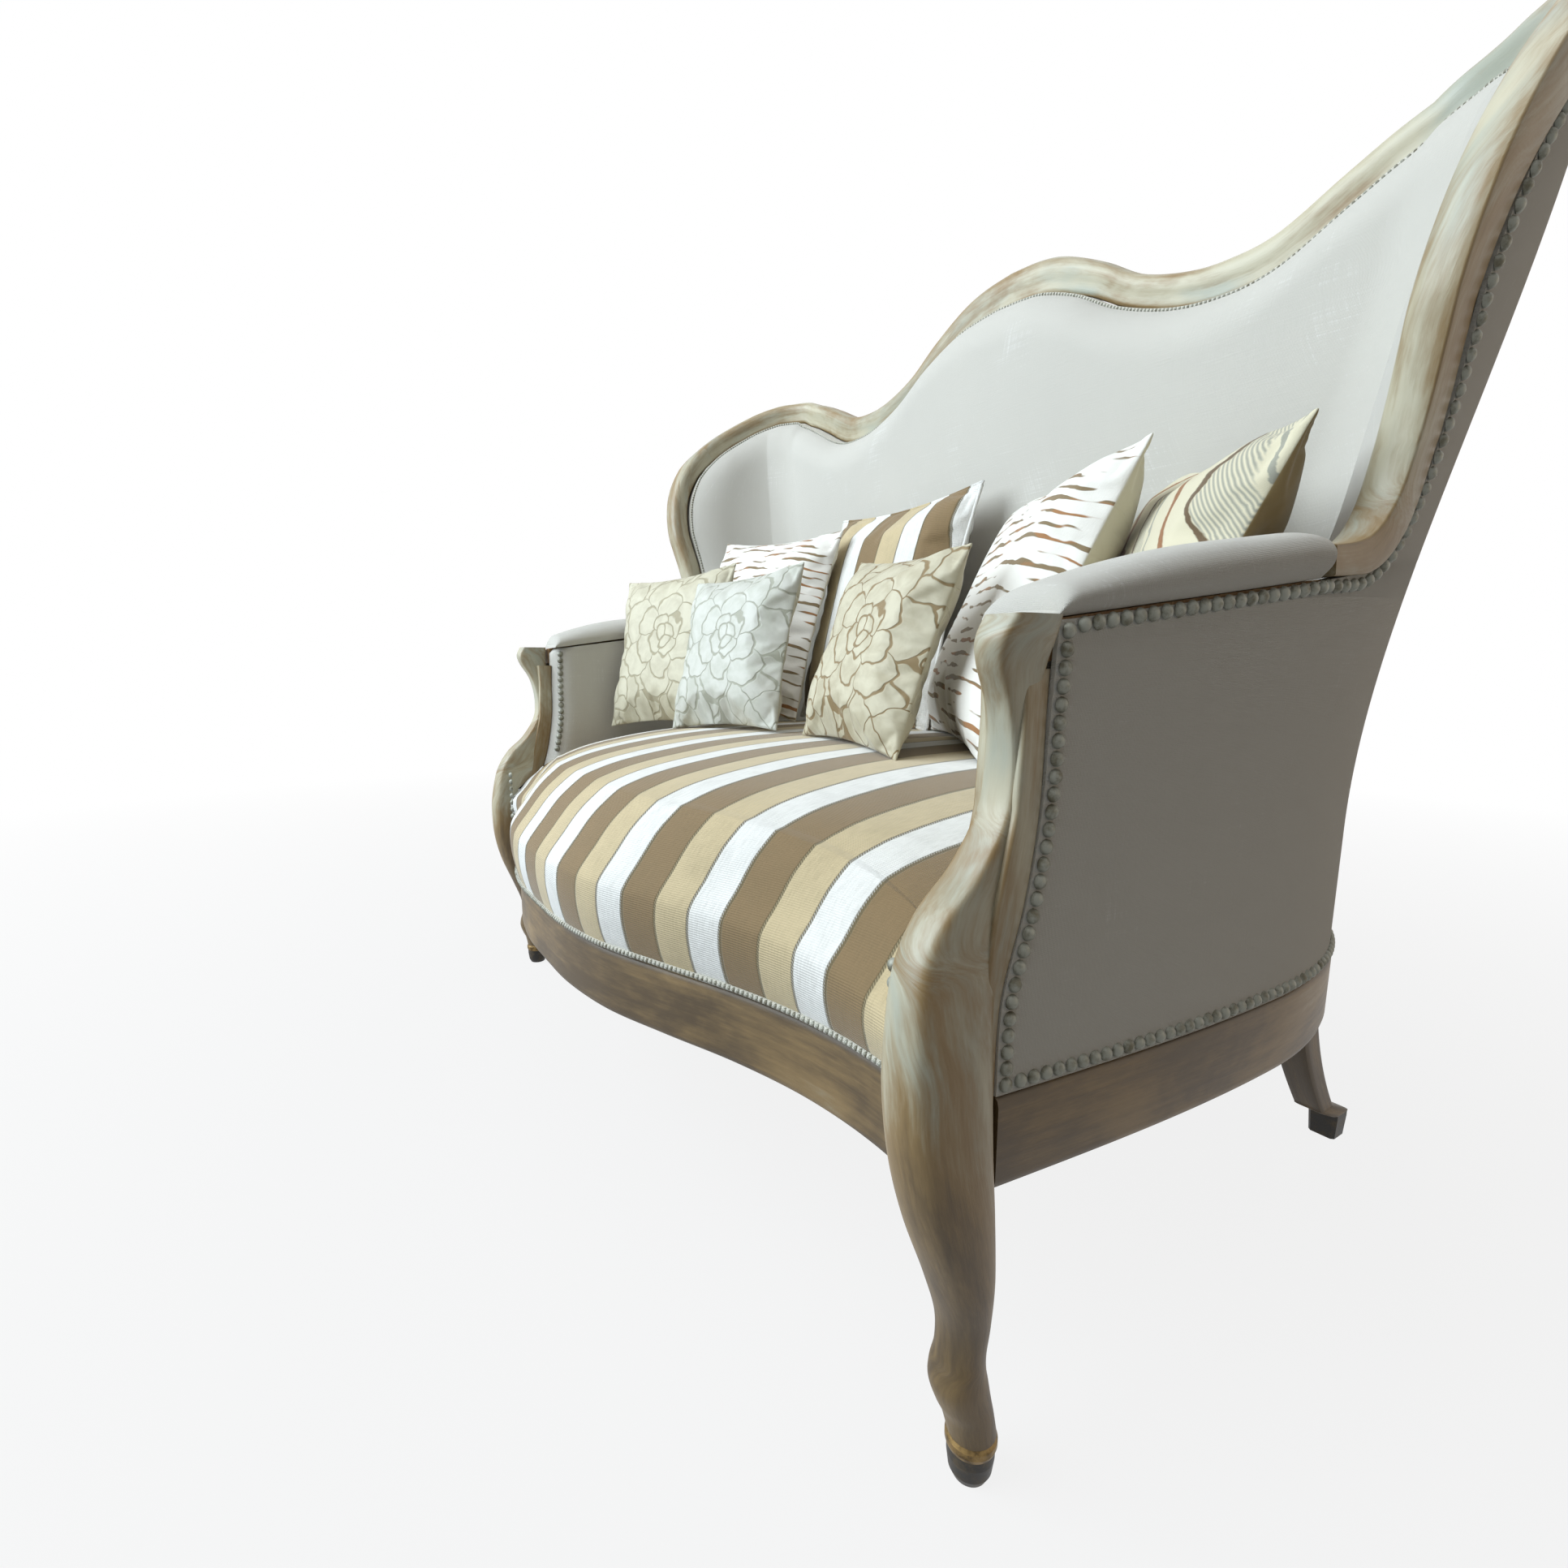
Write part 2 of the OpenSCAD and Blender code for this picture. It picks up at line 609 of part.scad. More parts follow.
module left_wing_upright() {
    color(bare_tone) mirrored() upright(wing_upright_station, frame_over(wing_upright_station));
}

// Arms: the line of large nails rises from the post to the foot of the stile
arm_rear_z = rim_edge[rim_steps].y;
arm_rear_station = rim_edge[rim_steps].x;
function arm_line(k) = lerp(arm_rear_z, arm_front_z, clamp01((k - arm_rear_station) / (3 - arm_rear_station)));
arm_rail_h = 30;
arm_rail_d = upright_d;
arm_rail_t = upright_t;
function arm_rail_ring(k) =
    let (z = arm_line(k) - gap)
    [at(k, z - arm_rail_h, arm_rail_d), at(k, z - arm_rail_h, arm_rail_d + arm_rail_t),
     at(k, z, arm_rail_d + arm_rail_t), at(k, z, arm_rail_d)];

module arm_rail() {
    loft([for (k = steps(arm_rear_station - 0.1, 3, 8)) arm_rail_ring(k)]);
}

module right_arm_rail() {
    color(bare_tone) placed() arm_rail();
}

module left_arm_rail() {
    color(bare_tone) mirrored() arm_rail();
}

module arm_stump() {
    upright(stump_station, arm_line(stump_station + upright_half_share) - arm_rail_h - gap);
}

module right_arm_stump() {
    color(bare_tone) placed() arm_stump();
}

module left_arm_stump() {
    color(bare_tone) mirrored() arm_stump();
}

// Side panels run from the rear corner to the show wood: each row starts at one station
// and ends where the front post, the arm line or the stile crosses its height
side_start = 1.42;
side_stop = 1.78;
side_foot_rise = 3.5;
side_stop_margin = 0.05;
side_edge = concat([[3, rail_low], [3, arm_front_z - rim_clear], [arm_rear_station, arm_rear_z - 3 * rim_clear]],
    [for (i = [rim_steps - 1 : -1 : 0])
        if (rim_edge[i].y > arm_rear_z + side_foot_rise && rim_edge[i].x > side_stop - side_stop_margin) rim_edge[i]]);
side_arm_rows = 4;
side_close_rows = 8;
side_columns = 11;
side_column_power = 1.25;
function side_marks() = [for (c = steps(0, 1, side_columns)) pow(c, side_column_power)];
side_heights = let (top = edge_height(side_stop))
    concat(steps(0, side_edge[1].y - seat_base, side_low_rows),
        [for (i = [1 : side_arm_rows]) lerp(side_edge[1].y, side_edge[2].y, i / side_arm_rows) - seat_base],
        [for (i = [3 : len(side_edge) - 1])
            if (side_edge[i].y < top - rim_t / 2 && (i < side_close_rows || i % 2 == 0)) side_edge[i].y - seat_base],
        [top - seat_base]);

// Station and height of a panel's point: c runs to the front and h is measured at the front edge
function side_point(start, low, c, h, off) =
    let (stop_z = edge_height(side_stop), base = h == 0 ? low : seat_base, r = h / (stop_z - seat_base),
         z = lerp(base, stop_z, r), top = edge_height(lerp(start, side_stop, c)))
    [lerp(start, (r == 1 ? side_stop : value_at(side_edge, z)) - (z > arm_front_z ? off / corner_d : 0), c),
        lerp(base, top, r)];

module outer_side() {
    low = rail_top + gap;
    pts = [for (c = side_marks()) [for (h = side_heights) side_point(corner_joint + 2 * tiny / corner_w, low, c, h, rim_clear)]];
    slab([for (r = pts) [for (p = r) at(p.x, p.y, 0)]], [for (r = pts) [for (p = r) at(p.x, p.y, skin_t)]]);
}

module right_outer_side() {
    color(white_tone) placed() outer_side();
}

module left_outer_side() {
    color(white_tone) mirrored() outer_side();
}

back_rows = 8;
back_row_shares = [0, 0.12, 0.24, 0.38, 0.55, 0.72, 0.86, 0.95, 1];
back_columns = 12;
// Stations of the frame's own samples out to a given one, so that both meet edge to edge
function both_sides(list) = concat([for (j = [len(list) - 1 : -1 : 1]) -list[j]], list);
function rim_stations(stop) = both_sides(concat(
    [for (i = [0 : rim_steps / 2]) if (rim_edge[i].x < stop - rail_t / corner_w / 2) rim_edge[i].x], [stop]));

module outer_back() {
    pts = [for (k = rim_stations(corner_joint))
        [for (z = steps(rail_top + gap, edge_height(k), back_rows)) [k, z]]];
    color(white_tone) placed()
        slab([for (r = pts) [for (p = r) at(p.x, p.y, skin_t)]], [for (r = pts) [for (p = r) at(p.x, p.y, 0)]]);
}

// Inside upholstery: full depth in the middle, rolling in to the show wood at its edges
hidden_d = upright_d + upright_t + 5 * gap;
back_hessian_d = hidden_d + hessian_t + gap;
roll_reach = 80;

edge_d = max(rim_t * rim_inner_share + gap, back_hessian_d + tiny * 4);
post_edge_d = front_half - post_inner;
function roll(v) = sqrt(1 - pow(1 - clamp01(v / roll_reach), 2));
function crown(k, z) =
    back_crown * ease((z - seat_top) / (back_crown * 6)) * (1 - pow(clamp01(abs(k) / side_start), 6));
function back_depth(k, z) =
    lerp(edge_d, stuffing_d + crown(k, z), z <= seat_top ? 1 : roll(edge_height(k) - z));

module back_hessian() {
    reach = back_upright_station + upright_half_share;
    top = min([for (k = steps(0, reach, back_columns)) edge_height(k)]) - rim_t;
    pts = [for (k = steps(-reach, reach, 2)) [for (z = [seat_base, top]) [k, z]]];
    color(jute_tone) placed()
        slab([for (r = pts) [for (p = r) at(p.x, p.y, hidden_d + hessian_t)]],
            [for (r = pts) [for (p = r) at(p.x, p.y, hidden_d)]]);
}

module inner_back() {
    pts = [for (k = rim_stations(side_start - tiny / corner_w))
        [for (r = back_row_shares) [k, lerp(seat_base, edge_height(k), r)]]];
    color(white_tone) placed()
        slab([for (r = pts) [for (p = r) at(p.x, p.y, back_depth(p.x, p.y))]],
            [for (r = pts) [for (p = r) at(p.x, p.y, back_hessian_d)]]);
}

function side_depth(k, z) =
    let (up = edge_height(min(k, side_stop)) - z, fore = (value_at(side_edge, z) - k) * corner_d)
    k > arm_rear_station || z < arm_rear_z
        ? lerp(post_edge_d, stuffing_d, roll((3 - k) * corner_d * 2))
        : lerp(edge_d, stuffing_d, roll(min(up, fore)));

module inner_side() {
    pts = [for (c = side_marks())
        [for (h = side_heights) side_point(side_start + tiny / corner_w, seat_base, c, h, 2 * rim_clear)]];
    slab([for (r = pts) [for (p = r) at(p.x, p.y, hidden_d + gap)]],
        [for (r = pts) [for (p = r) at(p.x, p.y, side_depth(p.x, p.y))]]);
}

module right_inner_side() {
    color(white_tone) placed() inner_side();
}

module left_inner_side() {
    color(white_tone) mirrored() inner_side();
}

// Arm pads, in shares of the arm's depth and of the pad's height
pad_section_shares = [[0.02, 0], [-0.07, 0.30], [-0.05, 0.62], [0.10, 0.90], [0.36, 1], [0.66, 0.94],
    [0.92, 0.70], [1.04, 0.36], [1.02, 0]];
pad_end_shares = [0.55, 0.86, 1, 1, 1, 1, 1, 0.98, 0.9];
pad_front_station = 2.955;
pad_rear_station = arm_rear_station + 0.045;
module arm_pad() {
    loft([for (i = [0 : len(pad_end_shares) - 1])
        let (k = lerp(pad_front_station, pad_rear_station, i / (len(pad_end_shares) - 1)),
             h = arm_pad_h * pad_end_shares[i])
        [for (s = pad_section_shares) at(k, arm_line(k) + 2 * gap + s.y * h, s.x * stuffing_d)]]);
}

module right_arm_pad() {
    color(white_tone) placed() arm_pad();
}

module left_arm_pad() {
    color(white_tone) mirrored() arm_pad();
}

// Outline of the seat in plan: d inside the side and back panels and q behind the front
function side_outline(d) = [for (k = steps(0, 3, 3 * rail_steps)) plan(k, rail_top, d)];
function front_outline(q) = [for (x = steps(post_inner - gap, 0, rail_steps)) [x, bow_at(x) + q]];
function right_outline(d, q) = concat(side_outline(d), [[post_inner - gap, post_back_at(rail_top) + gap]], front_outline(q));
function outline(d, q) = let (r = right_outline(d, q))
    concat(r, [for (i = [len(r) - 2 : -1 : 1]) [-r[i].x, r[i].y]]);

seat_front_inset = 22;
module seat_hessian() {
    color(jute_tone) placed() translate([0, 0, seat_base - gap - hessian_t])
        linear_extrude(hessian_t) polygon(outline(hidden_d, seat_front_inset));
}

module seat_foam() {
    color(foam_tone) placed() translate([0, 0, seat_base])
        linear_extrude(foam_h) polygon(outline(seat_d, seat_front_inset));
}

// Interlaced webbing, drawn as one net of straps tacked on top of the rails
strap_w = 50;
long_straps = 7;
cross_straps = 5;
strap_reach_share = 0.93;
corner_start = back_at(rail_top) - corner_d_at(rail_top);
function side_station(y) =
    y <= corner_start ? 2 + (corner_start - y) / (corner_start - post_back_at(rail_top))
    : 1 + acos((y - corner_start) / (corner_d_at(rail_top) - hidden_d)) / quarter;
module seat_webbing() {
    reach = (side_half - corner_w) * strap_reach_share;
    color(jute_tone) placed() translate([0, 0, rail_top + gap]) {
        for (i = [0 : long_straps - 1])
            let (x = lerp(-reach, reach, i / (long_straps - 1)), y = max(bow_at(abs(x) + strap_w / 2), bow_at(abs(x) - strap_w / 2)) + seat_front_inset)
            translate([x - strap_w / 2, y, 0]) cube([strap_w, back_at(rail_top) - hidden_d - y, web_t]);
        for (i = [0 : cross_straps - 1])
            let (y = lerp(post_back + strap_w, back_line - corner_d / 2, i / (cross_straps - 1)),
                 x = min([for (s = [-1, 1]) plan(side_station(y + s * strap_w / 2), rail_top, hidden_d).x]))
            translate([-x, y - strap_w / 2, web_t + gap]) cube([2 * x, strap_w, web_t]);
    }
}

module dust_cover() {
    color(dust_tone) placed() difference() {
        translate([0, 0, rail_low - gap - hessian_t])
            linear_extrude(hessian_t) polygon(outline(rail_t / 4, rail_t / 4));
        for (s = [-1, 1]) translate([s * rear_leg_x, rear_leg_y, rail_low])
            cube([rear_leg_w + 6 * overrun, rear_leg_w + 6 * overrun, 2 * overrun + rail_t], center = true);
    }
}

// Striped seat: the rows give the share of the way back, of the front swell and of the
// height over the rail for the top, and the share of the way back for the hollow below
seat_row_shares = [[0, 0, 0, 0], [0, 0.6, 0.10, 0.005], [0, 1, 0.24, 0.010], [0, 0.85, 0.37, 0.018],
    [0.026, 0, 0.52, 0.0243], [0.09, 0, 0.69, 0.0256], [0.19, 0, 0.85, 0.19], [0.32, 0, 0.94, 0.32],
    [0.45, 0, 0.985, 0.45], [0.60, 0, 1, 0.60], [0.75, 0, 1, 0.75], [0.90, 0, 0.985, 0.90], [1, 0, 0.96, 1]];
seat_hollow_row = 5;
seat_columns = 24;
seat_back_station = 1.5;
seat_front_share = 0.15;
seat_d = stuffing_d + 4 * gap;
seat_ends = post_inner - gap;

function seat_side(r) =
    r < seat_front_share ? [seat_ends, lerp(bow_at(seat_ends), post_back_at(seat_base), r / seat_front_share)]
    : let (k = lerp(3, seat_back_station, (r - seat_front_share) / (1 - seat_front_share)))
      plan(k, seat_base, seat_d);
function seat_rear(u) = let (p = plan(abs(u) * seat_back_station, seat_base, seat_d)) [sign(u) * p.x, p.y];
function seat_point(u, r) =
    let (front = [u * seat_ends, bow_at(u * seat_ends)],
         bend = seat_side(r) - lerp([seat_ends, bow_at(seat_ends)], seat_rear(1), r))
    lerp(front, seat_rear(u), r) + [bend.x * u, bend.y];
function seat_height(x, share) = rail_top + gap
    + share * (seat_top - rail_top - gap - seat_fall * pow(abs(x) / seat_ends, 4));

module striped_seat() {
    u_steps = [for (i = [0 : seat_columns]) sin(lerp(-90, 90, i / seat_columns))];
    upper = [for (u = u_steps) [for (s = seat_row_shares)
        let (p = seat_point(u, s[0])) [p.x, p.y - s[1] * seat_swell, seat_height(p.x, s[2]) + (s[2] > 0 ? 0 : tiny)]]];
    lower = [for (u = u_steps) [for (i = [0 : len(seat_row_shares) - 1])
        let (p = seat_point(u, seat_row_shares[i][3]))
        [p.x, p.y, i < seat_hollow_row ? rail_top + gap : seat_base + foam_h + gap]]];
    color(stripe_tone) placed() slab(upper, lower);
}

// Loose pillows: drawn-in sides and crowned faces, each at its own place in shares of the
// half width, of the depth and of its size above the seat, then its turn, lean and roll
pillow_steps = 10;
pillow_draw_share = 0.075;
pillow_seam = 2.4;
pillow_crown_power = 0.62;
function pillow_x(u, v, size) = u * size / 2 * (1 - pillow_draw_share * (1 - v * v));
function pillow_face(u, v, size, t, side) =
    [pillow_x(u, v, size), side * (pillow_seam / 2 + (t - pillow_seam) / 2
        * pow((1 - pow(u, 4)) * (1 - pow(v, 4)), pillow_crown_power)), pillow_x(v, u, size)];

module pillow(pose, size, t) {
    marks = [for (i = [0 : pillow_steps]) sin(lerp(-90, 90, i / pillow_steps))];
    placed() translate([pose[0] * side_half, pose[1] * back_line, seat_top + pose[2] * size])
        rotate([0, 0, pose[3]]) rotate([-pose[4], 0, 0]) rotate([0, pose[5], 0])
            slab([for (u = marks) [for (v = marks) pillow_face(u, v, size, t, -1)]],
                [for (u = marks) [for (v = marks) pillow_face(u, v, size, t, 1)]]);
}

module floral_pillow_beige() {
    color(stripe_tone) pillow([-0.631, 0.339, 0.4438, 17.5, 13.7, -3.3], small_pillow * 1.08, small_pillow_t);
}

module tiger_pillow_left() {
    color(white_tone) pillow([-0.606, 0.612, 0.499, 8.1, 16.3, 2.8], big_pillow * 0.91, big_pillow_t * 0.9);
}

module floral_pillow_silver() {
    color(white_tone) pillow([-0.259, 0.349, 0.4690, 10.8, 15.8, -3.1], small_pillow * 0.97, small_pillow_t);
}

module striped_pillow() {
    color(white_tone) pillow([-0.2065, 0.762, 0.4848, -4, 14.2, 0.1], big_pillow, big_pillow_t);
}

module floral_pillow_brown() {
    color(stripe_tone) pillow([0.258, 0.394, 0.4543, -9, 19.9, 1.9], small_pillow * 0.97, small_pillow_t);
}

module tiger_pillow_right() {
    color(stripe_tone) pillow([0.4004, 0.629, 0.4387, -33.3, 24.1, 2], big_pillow * 0.97, big_pillow_t * 1.08);
}

module leaf_pillow() {
    color(stripe_tone) pillow([0.695, 0.622, 0.4024, -43.1, 23, 5.5], big_pillow * 0.95, big_pillow_t);
}

left_front_post();
right_front_post();
left_front_ring();
right_front_ring();
left_front_cap();
right_front_cap();
left_rear_leg();
right_rear_leg();
left_rear_cap();
right_rear_cap();
front_apron();
left_side_rail();
right_side_rail();
back_rail();
left_front_block();
right_front_block();
left_rear_block();
right_rear_block();
apron_dowels();
side_rail_dowels();
rear_leg_dowels();
crest_rail();
left_stile();
right_stile();
left_arm_rail();
right_arm_rail();
left_arm_stump();
right_arm_stump();
left_wing_upright();
right_wing_upright();
left_back_upright();
centre_back_upright();
right_back_upright();
back_hessian();
seat_webbing();
seat_hessian();
seat_foam();
striped_seat();
inner_back();
left_inner_side();
right_inner_side();
left_arm_pad();
right_arm_pad();
outer_back();
left_outer_side();
right_outer_side();
dust_cover();
floral_pillow_beige();
tiger_pillow_left();
floral_pillow_silver();
striped_pillow();
floral_pillow_brown();
tiger_pillow_right();
leaf_pillow();
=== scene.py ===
import json
import logging
import math
from dataclasses import dataclass, field
from enum import Enum
from typing import Any, Sequence

import bmesh
import bpy
import numpy as np
from mathutils import Euler, Matrix, Vector


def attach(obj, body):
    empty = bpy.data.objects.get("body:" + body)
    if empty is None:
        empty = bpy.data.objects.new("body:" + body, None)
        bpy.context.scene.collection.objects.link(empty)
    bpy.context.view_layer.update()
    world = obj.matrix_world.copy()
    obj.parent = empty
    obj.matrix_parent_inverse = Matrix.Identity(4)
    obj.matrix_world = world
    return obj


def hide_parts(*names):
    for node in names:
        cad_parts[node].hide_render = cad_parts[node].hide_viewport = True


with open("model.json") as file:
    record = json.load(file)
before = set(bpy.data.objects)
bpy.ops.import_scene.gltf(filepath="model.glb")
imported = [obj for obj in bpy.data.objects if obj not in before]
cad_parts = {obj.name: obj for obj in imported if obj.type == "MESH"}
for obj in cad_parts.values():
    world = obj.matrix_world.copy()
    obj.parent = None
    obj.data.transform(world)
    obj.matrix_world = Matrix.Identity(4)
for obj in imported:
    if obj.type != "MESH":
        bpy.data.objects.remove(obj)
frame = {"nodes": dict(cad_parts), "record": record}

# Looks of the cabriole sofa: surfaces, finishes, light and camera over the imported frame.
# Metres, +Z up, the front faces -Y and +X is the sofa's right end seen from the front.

log = logging.getLogger("cabriole_sofa")
Array = np.ndarray
Piece = bpy.types.Object
Finish = bpy.types.Material
Colour = tuple[float, float, float, float]
UP = np.array([0.0, 0.0, 1.0])
TINY = 1e-9


# Curves and blends

def lerp(a: Any, b: Any, t: Any) -> Any:
    """Straight blend from a to b by the share t."""
    return a + (b - a) * t


def ease(t: Any) -> Array:
    """Smooth blend that starts and ends level: three t squared minus two t cubed."""
    c = np.clip(t, 0.0, 1.0)
    return c * c * (3.0 - 2.0 * c)


def rounded(t: Any) -> Array:
    """Quarter circle that rises upright from 0 and comes to 1 level."""
    return np.sqrt(1 - (1 - np.clip(t, 0, 1)) ** 2)


def unit(v: Array) -> Array:
    """Vectors scaled to length one, each divided by the root of its own square."""
    return v / np.maximum(np.linalg.norm(v, axis=-1, keepdims=True), TINY)


def curve(knots: Sequence, t: Any) -> Array:
    """Smooth curve through evenly spaced knots, by the Catmull-Rom cubic.

    Args:
        knots: Values or points that the curve passes through.
        t: Shares of the way along, from 0 to 1.

    Returns:
        The curve's value or point for each share.
    """
    values = np.asarray(knots, float)
    last = len(values) - 1
    s = np.clip(np.asarray(t, float), 0.0, 1.0) * last
    i = np.minimum(np.floor(s).astype(int), last - 1)
    f = (s - i).reshape(s.shape + (1,) * (values.ndim - 1))
    a, b, c, d = (values[np.clip(i + j, 0, last)] for j in (-1, 0, 1, 2))
    square, cube = 2 * a - 5 * b + 4 * c - d, 3 * b - a - 3 * c + d
    return (2 * b + (c - a) * f + square * f ** 2 + cube * f ** 3) / 2


def lengths(points: Array, axis: int = 0) -> Array:
    """Running length along one axis of a grid of points, which is the sum of its chords.

    Args:
        points: Points in a line or in rows and columns.
        axis: The axis to run along.

    Returns:
        The length from the first point to each point.
    """
    step = np.linalg.norm(np.diff(points, axis=axis), axis=-1)
    pad = np.zeros_like(np.take(step, [0], axis=axis))
    return np.concatenate([pad, np.cumsum(step, axis=axis)], axis=axis)


def mirror(points: Array) -> Array:
    """The same points on the other side of the middle plane."""
    return points * np.array([-1.0, 1.0, 1.0])


def colour(red: int, green: int, blue: int) -> Colour:
    """Shader colour of a screen colour, whose channels all lie on the screen curve's power part."""
    lin = [((c / 255 + 0.055) / 1.055) ** 2.4 for c in (red, green, blue)]
    return (lin[0], lin[1], lin[2], 1.0)


def squared(a: Array, power: int) -> Array:
    """Reach of a rounded square at an angle: one over the root of the summed powers of cosine and sine."""
    return 1 / (np.abs(np.cos(a)) ** power + np.abs(np.sin(a)) ** power) ** (1 / power)


HANDS = (("right", np.array), ("left", mirror))


# The shape that all pieces share

@dataclass(frozen=True)
class SofaPlan:
    """The sofa's outside in plan, and the lines that its pieces share.

    Attributes:
        flare_span: Shares of the height where the flare of the sides starts and how far it runs.
        mid_y: Depth of the frame's origin behind the front of the plan.
        side_start, side_stop: Stations between which a side panel has the back frame over it.
        turn_back: Station past which the frame's edge turns back down to the arm.
    """

    back_top: float = 1.325
    post_top: float = 0.684
    rail_low: float = 0.248
    rail_h: float = 0.078
    rail_t: float = 0.046
    side_half: float = 0.678
    side_flare: float = 0.120
    flare_span: tuple[float, float] = (0.355, 0.617)
    front_flare: float = 0.16
    corner_flare: float = 0.3
    front_half: float = 0.652
    back_line: float = 0.718
    back_rake: float = 0.024
    corner_w: float = 0.200
    corner_d: float = 0.332
    front_bow: float = 0.145
    rim_t: float = 0.038
    rim_w: float = 0.062
    post_w: float = 0.060
    inner_share: float = 0.88
    foot_x: float = 0.660
    post_back: float = 0.060
    skin_t: float = 0.004
    webbing_t: float = 0.0071
    stuffing_d: float = 0.078
    seat_top: float = 0.540
    seat_fall: float = 0.088
    seat_swell: float = 0.012
    back_crown: float = 0.020
    arm_pad_h: float = 0.052
    gap: float = 0.0004
    rim_clear: float = 0.0014
    mid_y: float = 0.31635
    corner_joint: float = 1.22
    side_start: float = 1.42
    side_stop: float = 1.78
    hidden_d: float = 0.0272
    turn_back: float = 2.05
    arm_front_drop: float = 0.002
    post_backs: tuple = (0.27, 0.32, 0.66, 0.86, 0.90, 0.94)
    rim_line: tuple = (
        (0, 1), (0.10, 0.992), (0.19, 0.969), (0.31, 0.911), (0.425, 0.843), (0.55, 0.804), (0.65, 0.794),
        (0.75, 0.804), (0.87, 0.857), (0.97, 0.897), (1.09, 0.924), (1.25, 0.931), (1.40, 0.925),
        (1.58, 0.889), (1.79, 0.812), (1.94, 0.727), (2.035, 0.642), (2.085, 0.565), (2.10, 0.488),
        (2.09, 0.417), (2.06, 0.358), (2.025, 0.296), (2.00, 0.240), (1.99, 0.185), (2.005, 0.145),
        (2.05, 0.119), (2.12, 0.107), (2.20, 0.101))
    rim_widths: tuple = (
        1, 0.98, 0.90, 0.78, 0.74, 0.80, 0.86, 0.88, 0.84, 0.80, 0.78, 0.77, 0.77, 0.74, 0.70, 0.68, 0.67,
        0.66, 0.66, 0.66, 0.66, 0.66, 0.64, 0.62, 0.58, 0.52, 0.45, 0.42)
    bow_line: tuple = (1, 0.985, 0.88, 0.66, 0.42, 0.25, 0.19, 0.24)

    @property
    def rail_top(self) -> float:
        """Height of the top of the seat rails."""
        return self.rail_low + self.rail_h

    @property
    def seat_base(self) -> float:
        """Height at which the inside upholstery starts, over the webbing and hessian."""
        return self.rail_top + self.webbing_t

    @property
    def post_inner(self) -> float:
        """Distance of a front post's inner side from the middle."""
        return self.foot_x - self.post_w * self.inner_share

    @property
    def seat_half(self) -> float:
        """Half width of what fits between the front posts."""
        return self.post_inner - self.gap

    @property
    def seat_d(self) -> float:
        """Depth at which the seat meets the inside cover."""
        return self.stuffing_d + 4 * self.gap

    @property
    def arm_front_z(self) -> float:
        """Height of the arm line at the front post."""
        return self.post_top - self.arm_front_drop

    def flare_at(self, z: Any) -> Array:
        """How much wider the sides are at a height: an eased flare between two shares of it."""
        start, run = self.flare_span
        return self.side_flare * ease((np.asarray(z) / self.back_top - start) / run)

    def half_at(self, z: Any) -> Array:
        """Half width at a height: the half width over the rails and the flare."""
        return self.side_half + self.flare_at(z)

    def front_half_at(self, z: Any) -> Array:
        """Half width at the front posts, which takes a share of the flare."""
        return self.front_half + self.flare_at(z) * self.front_flare

    def back_at(self, z: Any) -> Array:
        """Depth of the outside of the back at a height, on a straight rake."""
        share = (np.asarray(z) - self.rail_low) / (self.back_top - self.rail_low)
        return self.back_line + self.back_rake * share

    def corner_d_at(self, z: Any) -> Array:
        """Depth of the rounded rear corner, which shortens by a share of the flare."""
        return self.corner_d - self.corner_flare * self.flare_at(z)

    def post_back_at(self, z: Any) -> Array:
        """Back of the front posts: a smooth S through its knots, from the rail to the arm."""
        share = (np.asarray(z) - self.seat_base) / (self.arm_front_z - self.rim_clear - self.seat_base)
        return self.post_back * curve(self.post_backs, share)

    def at(self, k: Any, z: Any, d: Any) -> Array:
        """Points on the outside or at a depth inside it.

        A straight back runs to station 1, a quarter ellipse to station 2 and a side that
        draws in by a cosine to the post at station 3. Negative stations are the left side.

        Args:
            k: Stations round the sofa.
            z: Heights above the floor.
            d: Depths inside the outside surface.

        Returns:
            Points in the shared frame, with the stations' shape.
        """
        k, z, d = np.broadcast_arrays(*(np.asarray(v, float) for v in (k, z, d)))
        q = np.abs(k)
        a, b = self.half_at(z) - d, self.back_at(z) - d
        rx, ry = self.corner_w - d, self.corner_d_at(z) - d
        cx, cy = a - rx, b - ry
        t, s = (q - 1.0) * math.pi / 2, q - 2.0
        drawn = lerp(a, self.front_half_at(z) - d, 1 - np.cos(np.clip(s, 0, 1) * math.pi / 2))
        post = self.post_back_at(z) + self.gap
        x = np.where(q <= 1, q * cx, np.where(q <= 2, cx + rx * np.sin(t), drawn))
        y = np.where(q <= 1, b, np.where(q <= 2, cy + ry * np.cos(t), lerp(cy, post, s)))
        return np.stack([np.where(k < 0, -x, x), y - self.mid_y, z], -1)

    def inward(self, k: Any, z: Any) -> Array:
        """Direction into the sofa at a place on its outside."""
        return unit(self.at(k, z, self.rim_t) - self.at(k, z, 0.0))

    def station(self, p: Array) -> Array:
        """Station of points on the right side, which turns the plan's formula round.

        Args:
            p: Points in the shared frame.

        Returns:
            Their stations, from 0 to about 3.
        """
        x, y, z = p[..., 0], p[..., 1] + self.mid_y, p[..., 2]
        cx, ry = self.half_at(z) - self.corner_w, self.corner_d_at(z)
        cy = self.back_at(z) - ry
        turn = 1 + np.arctan2((x - cx) / self.corner_w, (y - cy) / ry) / (math.pi / 2)
        side = 2 + (cy - y) / (cy - self.post_back_at(z))
        return np.where(x <= cx, x / cx, np.where(y >= cy, turn, side))

    def rim_z(self, share: Any) -> Array:
        """Height of a share of the way from the front posts to the hump."""
        return lerp(self.post_top, self.back_top, share)

